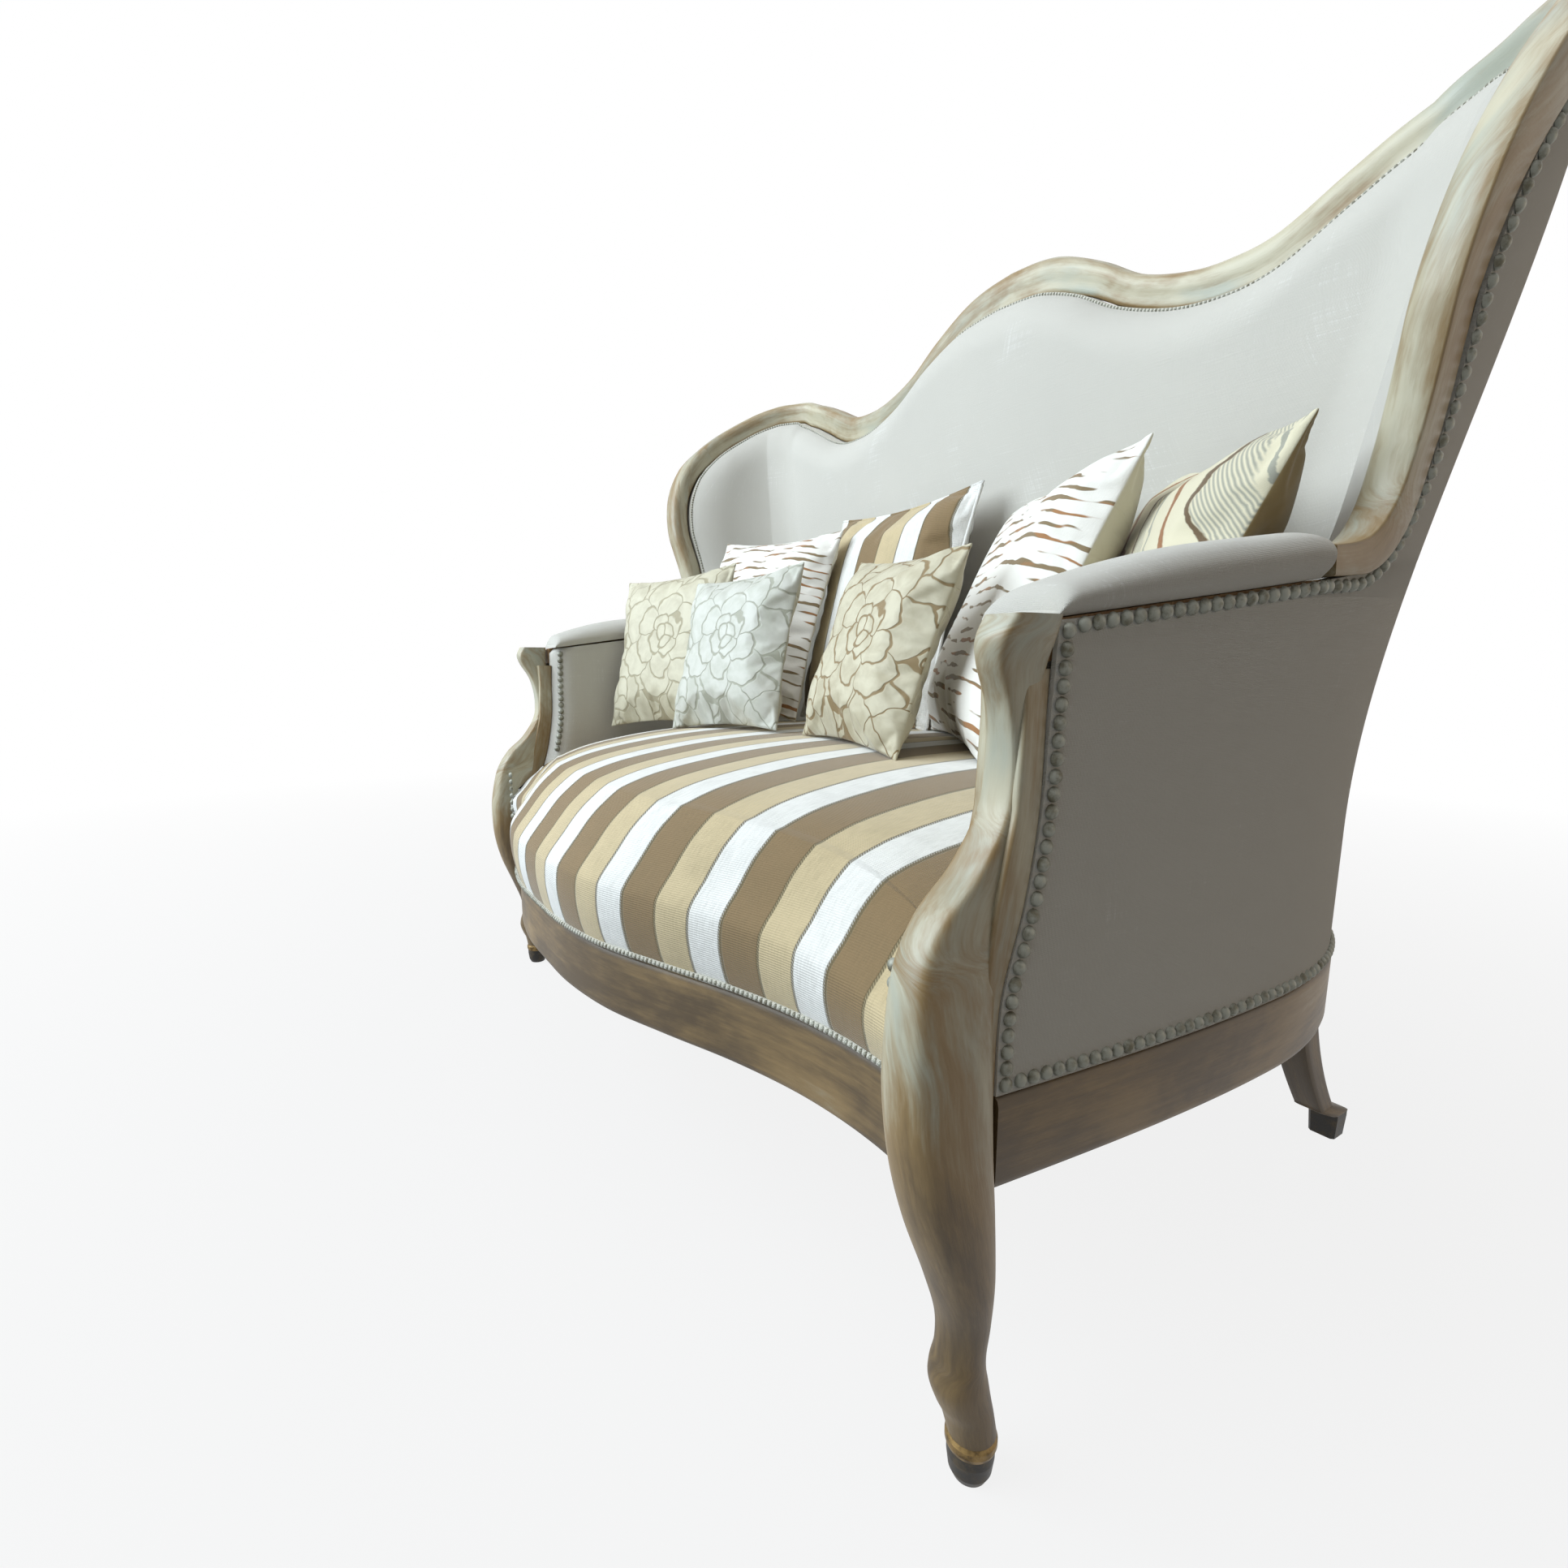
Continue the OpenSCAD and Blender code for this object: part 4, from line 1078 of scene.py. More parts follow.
RING_SHARES = (1.0, 0.66, 0.36, 0.2)
BLOOMS = (Bloom(-0.70, 0.74, 0.58, (6, 4), 2.0), Bloom(0.80, 0.88, 0.50, (5, 3), 0.9),
          Bloom(0.70, -0.72, 0.60, (6, 4), 0.2), Bloom(-0.66, -0.60, 0.62, (6, 5, 3), 1.1),
          Bloom(0.16, 0.12, 0.80, (7, 6, 4, 3), 0.4))
# Leaves between the blooms: middle across and up, half length and turn
FRONDS = ((-0.20, -0.86, 0.34, 0.3), (0.28, -0.72, 0.36, 1.9), (-0.46, 0.12, 0.30, 1.2),
          (0.30, 0.92, 0.30, 0.2), (-0.92, 0.10, 0.34, 1.5), (0.96, 0.10, 0.32, 1.7),
          (-0.16, 0.80, 0.26, 2.5), (-0.22, -0.42, 0.24, 2.7))


@dataclass(frozen=True)
class FloralCloth:
    """A woven pattern of round-petalled flowers and leaves, raised over a flat ground."""

    name: str
    petal: Colour
    ground: Colour
    shade: Colour
    back: Colour
    warp: float = 0.26
    drawn: tuple[float, float] = (0.020, 0.008)

    def build(self) -> Finish:
        """Leaves first, then rings of petals in polar measure, from the outermost ring inwards.

        Returns:
            The material.
        """
        s = Shader(self.name)
        cloth = s.stored("cloth")
        u, v, face = cloth.split()
        warp, drift = s.blots(u, v, scale=3.2), s.blots(v, u, 4.0, 3.2)
        x, y = u + self.warp * (warp - 0.5), v + self.warp * (drift - 0.5)
        fill, line = None, None
        for ax, ay, size, turn in FRONDS:
            c, n = math.cos(turn), math.sin(turn)
            a = ((x - ax) * c + (y - ay) * n) / size
            b = ((y - ay) * c - (x - ax) * n) / size
            lens = 0.42 * (1.0 - a * a) - b.with_("ABSOLUTE")
            leaf = lens.rise(0.02, 0.06)
            rib = (b + 0.10 * (a * 3.0).with_("SINE")).with_("ABSOLUTE").rise(0.05, 0.02) * leaf
            fill = leaf if fill is None else fill.with_("MAXIMUM", leaf)
            line = rib if line is None else line.with_("MAXIMUM", rib)
        for bloom in BLOOMS:
            dx, dy = x - bloom.x, y - bloom.y
            r = (dx * dx + dy * dy).with_("SQRT")
            angle = s.maths("ARCTAN2", dy, dx)
            for step, petals in enumerate(bloom.rings):
                reach = bloom.radius * RING_SHARES[step]
                petal = (angle + (bloom.turn + 0.7 * step)) * (petals / 2)
                lobe = petal.with_("SINE").with_("ABSOLUTE")
                rim = reach * (0.72 + 0.28 * lobe.with_("POWER", 0.55))
                inside = (rim - r).rise(-0.006, 0.006)
                edge = (rim - r).with_("ABSOLUTE").rise(*self.drawn)
                parting = (lobe * r).rise(0.022, 0.008) * inside
                fill = fill.with_("MAXIMUM", inside)
                line = (line * (1.0 - inside) + parting).with_("MAXIMUM", edge)
        raised = fill * (1.0 - line)
        nap = s.noise(cloth * (1.0, 0.5, 1.0), 520.0, 3.0)
        glow = s.noise(s.joined(x, y, 7.0), 5.0, 3.0)
        tone = s.mix(glow.rise(0.35, 0.7), self.petal, self.shade)
        tint = s.backed(face, s.mix(raised, self.ground, tone), self.back)
        bumps = s.relief(raised * 0.9 + nap * 0.3, 0.0013, 0.7)
        return s.finish(tint, 0.66 - 0.14 * raised, bumps, Sheen_Weight=0.3, Sheen_Roughness=0.35)


@dataclass(frozen=True)
class LeafCloth:
    """Large cream leaves edged in rust and brown, with hatched grey ground and a velvet back."""

    cream: Colour = colour(210, 203, 176)
    rust: Colour = colour(140, 92, 48)
    brown: Colour = colour(92, 72, 44)
    grey: Colour = colour(150, 150, 136)
    back: Colour = colour(150, 130, 88)
    hatches: float = 210.0

    def build(self) -> Finish:
        """Leaves are bands of a bent diagonal, with edges where the bend crosses set levels.

        Returns:
            The material.
        """
        s = Shader("leaf_fabric")
        cloth = s.stored("cloth")
        u, v, face = cloth.split()
        warp = s.blots(u, v, scale=1.5) - 0.5
        slope = u * 0.9 + v * 0.55 + 0.55 * warp + 0.16 * (v * 3.0).with_("SINE")
        wave = (slope * 1.35).with_("FRACT")
        ragged = s.noise(s.joined(u * 2.0, v * 14.0), 2.0, 3.0) - 0.5
        level = wave + 0.05 * ragged
        lined = ((u + v) * self.hatches).with_("SINE") * 0.5 + 0.5
        tint = s.mix(lined * (level.rise(0.52, 0.55) * level.rise(0.76, 0.73)), self.cream, self.grey)
        for start, full, still, stop, tone in ((0.46, 0.48, 0.52, 0.54, self.brown),
                                               (0.08, 0.10, 0.16, 0.19, self.rust),
                                               (0.80, 0.81, 0.84, 0.85, self.grey)):
            tint = s.mix(level.rise(start, full) * level.rise(stop, still), tint, tone)
        nap = s.noise(cloth * (1.0, 0.5, 1.0), 520.0, 3.0)
        bumps = s.relief(nap + level * 0.6, 0.0009, 0.5)
        return s.finish(s.backed(face, tint, self.back), 0.74, bumps, Sheen_Weight=0.4, Sheen_Roughness=0.4)


@dataclass(frozen=True)
class PlainCloth:
    """Hidden or plain textiles: jute, foam, black lining and the band of the gimp."""

    name: str
    light: Colour
    dark: Colour
    pitch: float

    def build(self) -> Finish:
        """A plain weave with slubs, on the place of the object.

        Returns:
            The material.
        """
        s = Shader(self.name)
        at = s.place()
        x, y, z = at.split()
        threads = weave(s.joined(x + z * 0.7, y + z * 0.7), self.pitch)
        slub = s.noise(at, 0.6 / self.pitch, 3.0)
        tint = s.mix((threads * 0.6 + slub * 0.6).rise(0.3, 0.8), self.dark, self.light)
        bumps = s.relief(threads + slub, 0.0008, 0.5)
        return s.finish(tint, 0.88, bumps, Sheen_Weight=0.15, Sheen_Roughness=0.6)


@dataclass
class Wardrobe:
    """All finishes by name, each made once."""

    made: dict[str, Finish] = field(default_factory=dict)

    def __post_init__(self) -> None:
        """Builds every finish of the sofa, after the frame's own materials have given up their names."""
        for packed in bpy.data.materials:
            packed.name = "packed_" + packed.name
        silver = FloralCloth("silver_floral_fabric", colour(200, 201, 192), colour(160, 161, 146),
                             colour(184, 186, 174), colour(190, 186, 166))
        beige = FloralCloth("beige_floral", colour(198, 193, 170), colour(158, 150, 124),
                            colour(182, 176, 152), colour(180, 172, 146))
        brown = FloralCloth("brown_floral_fabric", colour(196, 190, 166), colour(132, 112, 76),
                            colour(176, 168, 142), colour(186, 178, 152))
        plain = (("jute", colour(170, 142, 98), colour(120, 96, 60), 0.003),
                 ("foam", colour(236, 218, 160), colour(214, 190, 128), 0.0015),
                 ("dust_fabric", colour(40, 40, 42), colour(18, 18, 20), 0.0012),
                 ("gimp_fabric", colour(214, 212, 202), colour(176, 172, 156), 0.0016))
        seat = StripedCloth(StripeSet.SEAT, -0.8384)
        pillow = StripedCloth(StripeSet.PILLOW, -0.232, "pillow_stripes")
        finishes = [PaintedWood(), BareWood(), WhiteCloth(), seat, TigerCloth(), LeafCloth(), silver, beige,
                    brown, pillow]
        finishes += [CastMetal(kind) for kind in Metal] + [PlainCloth(*row) for row in plain]
        for finish in finishes:
            material = finish.build()
            self.made[material.name] = material

    def dress(self, piece: Piece, slot: str, finish: str | None = None,
              cad: Sequence[str] = ()) -> Piece:
        """Gives a piece its finish, the slot's own unless another is named, and hides the nodes that it
        stands for.

        Args:
            piece: The new piece.
            slot: Slot of the record.
            finish: Name of the finish where it isn't the slot's own.
            cad: Nodes that the piece replaces.

        Returns:
            The piece.
        """
        piece.data.materials.clear()
        piece.data.materials.append(self.made[finish or slot])
        if cad:
            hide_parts(*cad)
        log.info("%s: %d points, finish %s", piece.name, len(piece.data.vertices), finish or slot)
        return piece


# Wood

@dataclass
class ShowWood:
    """The painted frame: back frame, rails, posts and rear legs.

    Attributes:
        section, rail_section: Sections of the back frame and the rails, as shares of depth and size.
        heights: Heights of the posts' knots, as shares of the post's top.
        fronts, rears, inners, outers: The posts' sides there, in widths from the foot's middle.
        ridges, squares: How far the ridge stands out there, and how square the section is.
        block_fronts: Fronts of the part behind the knee, from seat to arm, in widths.
    """

    wardrobe: Wardrobe
    section: tuple = (
        (0, 0.06), (0.02, 0.02), (0.06, 0), (0.30, 0), (0.52, 0), (0.68, 0.02), (0.82, 0.07),
        (0.92, 0.13), (0.98, 0.22), (1.0, 0.31), (1, 0.40), (0.97, 0.50), (0.93, 0.60), (0.905, 0.68),
        (0.89, 0.76), (0.88, 0.83), (0.87, 0.90), (0.84, 0.95), (0.78, 1), (0.4, 1), (0.06, 1),
        (0.02, 0.98), (0, 0.94))
    rail_section: tuple = (
        (0, 0.12), (0.03, 0.05), (0.10, 0.01), (0.22, 0), (0.6, 0), (1, 0), (1, 1), (0.5, 1), (0.10, 1),
        (0.03, 0.97), (0, 0.90))
    heights: tuple = (
        40 / 684, 0.085, 0.105, 0.128, 0.148, 0.172, 0.212, 0.273, 0.351, 0.424, 0.497, 0.556, 0.632,
        0.686, 0.731, 0.789, 0.848, 0.906, 0.950, 0.976, 1)
    fronts: tuple = (
        -0.20, -0.26, -0.36, -0.44, -0.42, -0.34, -0.36, -0.60, -0.94, -1.14, -1.20, -1.16, -0.98, -0.62,
        -0.06, 0.36, 0.42, 0.28, 0.00, -0.07, 0.06)
    rears: tuple = (
        0.46, 0.42, 0.38, 0.34, 0.30, 0.28, 0.28, 0.26, 0.22, 0.20, 0.22, 0.25, 0.39, 0.56, 0.70, 0.80,
        0.82, 0.84, 0.86, 0.88, 0.90)
    inners: tuple = (
        -0.50, -0.58, -0.62, -0.66, -0.66, -0.64, -0.66, -0.72, -0.80, -0.85, -0.88, -0.88, -0.90, -0.88,
        -0.85, -0.80, -0.74, -0.65, -0.58, -0.56, -0.54)
    outers: tuple = (
        0.16, 0.14, 0.12, 0.10, 0.08, 0.08, 0.14, 0.24, 0.26, 0.20, 0.10, 0.00, -0.14, -0.20, -0.22,
        -0.22, -0.21, -0.18, -0.08, 0.03, 0.10)
    ridges: tuple = (
        0, 0.01, 0.02, 0.03, 0.03, 0.03, 0.04, 0.06, 0.07, 0.07, 0.07, 0.07, 0.06, 0.04, 0.03, 0.02, 0.02,
        0.02, 0.02, 0.02, 0.02)
    squares: tuple = (
        0, 0.10, 0.25, 0.30, 0.25, 0.20, 0.25, 0.30, 0.40, 0.50, 0.60, 0.66, 0.74, 0.80, 0.84, 0.86, 0.86,
        0.86, 0.84, 0.82, 0.80)
    block_fronts: tuple = (-0.20, 0, 0.16, 0.44, 0.50, 0.46)
    proud: float = 0.003
    joint: float = 0.54
    worn_gain: float = 3.0

    def carried(self, name: str, points: Array, cad: str, sharp: float = 40.0,
                extra: Sequence[Grid] = ()) -> None:
        """Makes and dresses a profile carried along a path.

        Args:
            name: Name of the piece.
            points: Rings of points along the path.
            cad: Node that the piece replaces.
            sharp: Angle above which edges stay crisp.
            extra: Other skins of the same piece.
        """
        grid = self.grained(points)
        self.wardrobe.dress(new_piece(name, [grid, *extra], sharp), "painted_wood", cad=[cad])

    def grained(self, points: Array) -> Grid:
        """A ring grid with grain along its length and wear where a ring bends most.

        The bend is one plus the product of the directions to both neighbours, and it
        spreads over the next two points on either side.

        Args:
            points: Rings of points along the path.

        Returns:
            The grid with its fields.
        """
        middle = points.mean(1, keepdims=True)
        run = lengths(middle)[:, :, None]
        off = points - middle
        ahead = unit(np.gradient(middle[:, 0], axis=0))[:, None]
        side = unit(np.cross(ahead, [0.0, 0.3, 1.0]) + 1e-6)
        across = [(off * way).sum(-1, keepdims=True) for way in (side, np.cross(ahead, side))]
        grain = np.concatenate([*across, np.broadcast_to(run, off.shape[:2] + (1,))], -1)
        before, after = np.roll(points, 1, 1) - points, np.roll(points, -1, 1) - points
        bend = 1.0 + (unit(before) * unit(after)).sum(-1)
        worn = np.clip(bend * self.worn_gain, 0, 1)
        for _ in range(2):
            worn = np.maximum(worn, 0.6 * np.maximum(np.roll(worn, 1, 1), np.roll(worn, -1, 1)))
        return Grid(points, True, True, {"grain": grain, "worn": worn})

    def rim_rings(self, t: Array) -> Array:
        """Rings of the back frame: the moulded section on its directions at each share.

        Args:
            t: Shares of the way along the frame.

        Returns:
            Rings of points.
        """
        into, across = PLAN.rim_axes(t)
        shape = np.asarray(self.section)
        width = PLAN.rim_width(t)[:, None, None]
        return (PLAN.rim_at(t)[:, None] + into[:, None] * (shape[:, 0] * PLAN.rim_t)[None, :, None]
                + across[:, None] * shape[None, :, 1:] * width)

    def rail_rings(self, k: Array) -> Array:
        """Rings of the rails that follow the plan: the rail section at each station.

        Args:
            k: Stations along the rail.

        Returns:
            Rings of points.
        """
        shape = np.asarray(self.rail_section)
        z = PLAN.rail_low + shape[:, 1] * PLAN.rail_h
        return PLAN.at(k[:, None], z[None], (shape[:, 0] * PLAN.rail_t - self.proud)[None])

    def post_rings(self, t: Array, sides: int = 72) -> Array:
        """Rings of a front post: an ellipse drawn out to a rounded square and to one ridge.

        Args:
            t: Shares of the way up the post's knots.
            sides: Points in a ring.

        Returns:
            Rings of points, from the toe to the top.
        """
        w = PLAN.post_w
        tables = (self.fronts, self.rears, self.inners, self.outers)
        y0, y1, x0, x1 = (curve(side, t)[:, None] * w for side in tables)
        q = np.clip(curve(self.squares, t), 0, 1)[:, None]
        a = np.linspace(0, 2 * math.pi, sides, endpoint=False)[None]
        c, s = np.cos(a), np.sin(a)
        full = squared(a, 9)
        ridge = curve(self.ridges, t)[:, None] * np.maximum(0, np.cos(a + math.pi / 4)) ** 6
        g = lerp(1.0, full, q * q) + ridge
        x = PLAN.foot_x + (x0 + x1) / 2 + (x1 - x0) / 2 * c * g
        y = (y0 + y1) / 2 + (y1 - y0) / 2 * s * g - PLAN.mid_y
        z = np.broadcast_to(curve(self.heights, t)[:, None] * PLAN.post_top, x.shape)
        return np.stack([x, y, z], -1)

    def post_block(self) -> Grid:
        """The part behind the knee that the rails and covers meet, a rounded box swept upwards.

        Returns:
            Its skin, with grain and wear.
        """
        top_share, r = 0.945, 0.003
        z = np.linspace(PLAN.rail_low, PLAN.post_top * top_share, 60)
        knots = np.linspace(PLAN.seat_base, PLAN.arm_front_z, len(self.block_fronts))
        front = np.interp(z, knots, self.block_fronts) * PLAN.post_w
        x0, x1 = np.full_like(z, PLAN.post_inner), np.full_like(z, PLAN.front_half - PLAN.gap)
        y0, y1 = front - PLAN.mid_y, PLAN.post_back_at(z) - PLAN.mid_y
        edges = ((x0, y0, 1, 1), (x1, y0, -1, 1), (x1, y1, -1, -1), (x0, y1, 1, -1))
        ring = [np.stack([cx + mx * r + r * math.cos(a), cy + my * r + r * math.sin(a), z], -1)
                for i, (cx, cy, mx, my) in enumerate(edges)
                for a in np.radians(np.linspace(180, 270, 4) + 90 * i)]
        return self.grained(np.stack(ring, 1))

    def leg_rings(self) -> Array:
        """Rings of a rear leg: a square with softened corners on a backward sweep.

        Returns:
            Rings of points, from the cap to the rail.
        """
        station, inset, back, out_share, bend = 1.33, 0.010, 0.106, 0.15, 1.7
        foot_w, top_w, swell = 0.036, 0.046, 0.006
        cap, collar = 0.036, 0.014
        top = PLAN.at(station, PLAN.rail_low, inset)
        foot = top + np.array([back * out_share, back, 0.0])
        shares = np.array([[0, 0], [0.1, 0.7], [0.25, 1], [0.65, 1], [0.85, 0.6], [1, 0]])
        upper = np.linspace(cap + collar * 1.1, PLAN.rail_low, 40)
        zs = np.concatenate([cap + shares[:, 0] * collar, upper])
        sweep = np.clip(1 - zs / PLAN.rail_low, 0, 1) ** bend
        width = lerp(foot_w, top_w, ease((zs - cap) / (PLAN.rail_low - cap)))
        width[:len(shares)] += swell * shares[:, 1]
        middle = lerp(top, foot, sweep[:, None])
        middle[:len(shares)] = lerp(foot, middle[len(shares)], shares[:, :1])
        a = np.linspace(0, 2 * math.pi, 40, endpoint=False)
        r = squared(a, 8)
        ring = np.stack([r * np.cos(a), r * np.sin(a), 0 * a], -1)
        points = middle[:, None] + ring[None] * width[:, None, None] / 2
        points[..., 2] = zs[:, None]
        return points

    def build(self) -> None:
        """Makes all the show wood."""
        right = self.rim_rings(np.linspace(0, self.joint, 150))
        self.carried("crest_moulding", np.concatenate([mirror(right[:0:-1]), right]), "crest_rail")
        stile = self.rim_rings(np.linspace(self.joint, 1, 140))
        post = self.post_rings(np.linspace(0, 1, 190))
        block = self.post_block()
        side = self.rail_rings(np.linspace(PLAN.corner_joint, 3, 90))
        leg = self.leg_rings()
        for hand, turned in HANDS:
            self.carried(f"{hand}_stile_moulding", turned(stile), f"{hand}_stile")
            base = Grid(turned(block.points), True, True, block.fields)
            self.carried(f"{hand}_cabriole_post", turned(post), f"{hand}_front_post", 55.0, [base])
            self.carried(f"{hand}_side_rail_moulding", turned(side), f"{hand}_side_rail")
            self.carried(f"{hand}_sabre_leg", turned(leg), f"{hand}_rear_leg")
        end = PLAN.corner_joint - 0.001
        self.carried("back_rail_moulding", self.rail_rings(np.linspace(-end, end, 120)), "back_rail")
        x = np.linspace(-PLAN.seat_half, PLAN.seat_half, 160)
        shape = np.asarray(self.rail_section)
        y = PLAN.bow_at(x)[:, None] + shape[None, :, 0] * PLAN.rail_t - PLAN.mid_y
        z = PLAN.rail_low + shape[None, :, 1] * PLAN.rail_h
        apron = np.stack([np.broadcast_to(x[:, None], y.shape), y, np.broadcast_to(z, y.shape)], -1)
        self.carried("serpentine_apron", apron, "front_apron")


# Upholstery

@dataclass
class Covers:
    """The white covers: inside back and arms, arm pads, and the outside panels.

    Attributes:
        wing: Height over the frame's foot at which the wing's edge starts to count, and its blend.
        pad_ends: Station where a pad starts, and how far it stops before the frame's foot.
    """

    wardrobe: Wardrobe
    roll_reach: float = 0.080
    edge_d: float = 0.0315
    wing: tuple[float, float] = (-0.055, 0.07)
    arm_k: float = 2.2
    pad_section: tuple = (
        (0.02, 0), (-0.07, 0.30), (-0.05, 0.62), (0.10, 0.90), (0.36, 1), (0.66, 0.94), (0.92, 0.70),
        (1.04, 0.36), (1.02, 0))
    pad_share: float = 0.80
    pad_ends: tuple[float, float] = (2.998, 0.03)

    def sheet(self, name: str, front: Array, behind: Array, slot: str, cad: Sequence[str],
              sharp: float = 50.0) -> Piece:
        """Makes and dresses a cover with a front and a back.

        Args:
            name: Name of the piece.
            front: Grid of the side that shows.
            behind: Grid of the side behind it.
            slot: Slot of the record.
            cad: Nodes that the piece replaces.
            sharp: Edges bent by more degrees than this stay crisp.

        Returns:
            The piece.
        """
        piece = new_piece(name, [slab(front, behind, cloth_field(front))], sharp)
        return self.wardrobe.dress(piece, slot, cad=cad)

    def rows(self) -> Array:
        """Shares of the height for the rows, closer where the arm line crosses.

        Returns:
            The shares, from 0 to 1.
        """
        _, rear_z = PLAN.arm_foot()
        top = float(PLAN.edge_height(PLAN.side_stop))
        marks = np.concatenate([np.linspace(PLAN.seat_base, PLAN.arm_front_z, 34)[:-1],
                                np.linspace(PLAN.arm_front_z, rear_z, 16)[:-1],
                                np.linspace(rear_z, top, 60)])
        return (marks - PLAN.seat_base) / (top - PLAN.seat_base)

    def side_grid(self, start: float, low: float, off: float, columns: int) -> tuple[Array, Array]:
        """Stations and heights of a side panel, row by row from one station to the show wood.

        Args:
            start: Station at which the panel starts.
            low: Height of its lower edge.
            off: How far it stays from the show wood.
            columns: Number of columns.

        Returns:
            Stations and heights, columns by rows.
        """
        r = self.rows()
        c = np.linspace(0, 1, columns) ** 1.15
        stop_z = float(PLAN.edge_height(PLAN.side_stop))
        z = lerp(low, stop_z, r)
        ends = np.where(r >= 1, PLAN.side_stop, PLAN.side_edge(z))
        ends = ends - np.where(z > PLAN.arm_front_z, off / PLAN.corner_d, 0)
        top = PLAN.edge_height(lerp(start, PLAN.side_stop, c))
        return lerp(start, ends[None], c[:, None]), lerp(low, top[:, None], r[None])

    def depth(self, k: Array, z: Array) -> Array:
        """Depth of the inside cover: full in the middle, rolled in by a quarter circle at the edges.

        Args:
            k: Stations of the points.
            z: Heights of the points.

        Returns:
            The depths inside the plan's outside.
        """
        _, rear_z = PLAN.arm_foot()
        q = np.abs(k)
        up = PLAN.edge_height(np.minimum(q, PLAN.side_stop)) - z
        below, blend = self.wing
        wing = ease((z - rear_z - below) / blend)
        fore = (PLAN.side_edge(z) - q) * PLAN.corner_d + (1 - wing) * 0.3
        near = np.where(q < PLAN.side_start, up, np.minimum(up, fore))
        roll = rounded(near / self.roll_reach)
        crown = PLAN.back_crown * ease((z - PLAN.seat_top) / (PLAN.back_crown * 6))
        crown = crown * (1 - np.clip(q / PLAN.side_start, 0, 1) ** 6)
        full = lerp(self.edge_d, PLAN.stuffing_d + crown, np.where(z <= PLAN.seat_top - 0.05, 1.0, roll))
        arm = rounded((3 - q) * PLAN.corner_d * 2 / self.roll_reach)
        post_edge = PLAN.front_half - PLAN.post_inner
        return np.where(q > self.arm_k, lerp(post_edge, full, arm), full)

    def inside(self) -> None:
        """One cover from arm to arm, as a padded sheet on the inside of the plan."""
        r = self.rows()
        k, z = self.side_grid(PLAN.side_start, PLAN.seat_base, 2 * PLAN.rim_clear, 70)
        mid = np.linspace(0, PLAN.side_start, 90)[:-1]
        centre_k = np.repeat(mid[:, None], len(r), 1)
        centre_z = lerp(PLAN.seat_base, PLAN.edge_height(mid)[:, None], r[None])
        k, z = np.concatenate([centre_k, k]), np.concatenate([centre_z, z])
        k, z = np.concatenate([-k[:0:-1], k]), np.concatenate([z[:0:-1], z])
        soft = 0.0009 * np.sin(k * 9.0 + z * 5.0) * np.sin(z * 17.0 + k * 3.0)
        front = PLAN.at(k, z, self.depth(k, z) + soft)
        behind = PLAN.at(k, z, PLAN.hidden_d + 0.002)
        piece = self.sheet("inside_cover", front, behind, "white_fabric",
                           ["inner_back", "left_inner_side", "right_inner_side"], 60.0)

    def outside(self) -> None:
        """Thin covers outside the arms and the back, stretched over the carcass."""
        for hand, turned in HANDS:
            k, z = self.side_grid(PLAN.corner_joint + 0.005, PLAN.rail_top + PLAN.gap, PLAN.rim_clear, 70)
            front, behind = turned(PLAN.at(k, z, 0.0)), turned(PLAN.at(k, z, PLAN.skin_t))
            piece = self.sheet(f"{hand}_outside_cover", front, behind, "white_fabric",
                               [f"{hand}_outer_side"])
            self.stretched(piece, front, [f"{hand}_side_rail_moulding"])
        k = np.repeat(np.linspace(-PLAN.corner_joint, PLAN.corner_joint, 140)[:, None], 40, 1)
        z = lerp(PLAN.rail_top + PLAN.gap, PLAN.edge_height(k[:, :1]), np.linspace(0, 1, 40)[None])
        front, behind = PLAN.at(k, z, 0.0), PLAN.at(k, z, PLAN.skin_t)
        piece = self.sheet("back_outside_cover", front, behind, "white_fabric", ["outer_back"])
        self.stretched(piece, front, ["back_rail_moulding"])

    @staticmethod
    def stretched(piece: Piece, front: Array, over: Sequence[str]) -> None:
        """Takes the diagonals of a stretched sheet's cells, whose cross products would give its area, and
        keeps nothing.

        Args:
            piece: The sheet, not used.
            front: Grid of the side that shows.
            over: Pieces that it rests on, not used.
        """
        a, b = front[1:, 1:] - front[:-1, :-1], front[1:, :-1] - front[:-1, 1:]

    def arm_pads(self) -> None:
        """Crowned pads along the arms: a rounded section carried from the post to the frame.

        Their height rises behind the post by a short quarter circle and a long one's square,
        and falls again by a quarter circle before the frame.
        """
        rear_k, _ = PLAN.arm_foot()
        shape = curve(self.pad_section, np.linspace(0, 1, 48))
        s = np.linspace(0, 1, 90)
        k = lerp(self.pad_ends[0], rear_k + self.pad_ends[1], s)
        rise = 0.55 * rounded((s + 0.002) / 0.055) + 0.45 * rounded((s + 0.002) / 0.6) ** 2
        fall = rounded((1.03 - s) / 0.16)
        h = self.pad_share * PLAN.arm_pad_h * rise * lerp(0.70, 1.0, fall)
        narrow = lerp(0.82, 1.0, rise)[:, None]
        d = ((shape[None, :, 0] - 0.5) * narrow + 0.5) * PLAN.stuffing_d
        z = PLAN.arm_line(k)[:, None] + 2 * PLAN.gap + shape[None, :, 1] * h[:, None]
        points = PLAN.at(k[:, None], z, d)
        for hand, turned in HANDS:
            grid = Grid(turned(points), True, True, cloth_field(points))
            piece = new_piece(f"{hand}_arm_cushion", [grid], 70.0)
            self.wardrobe.dress(piece, "white_fabric", cad=[f"{hand}_arm_pad"])

    def build(self) -> None:
        """Makes all the white covers."""
        self.inside()
        self.outside()
        self.arm_pads()


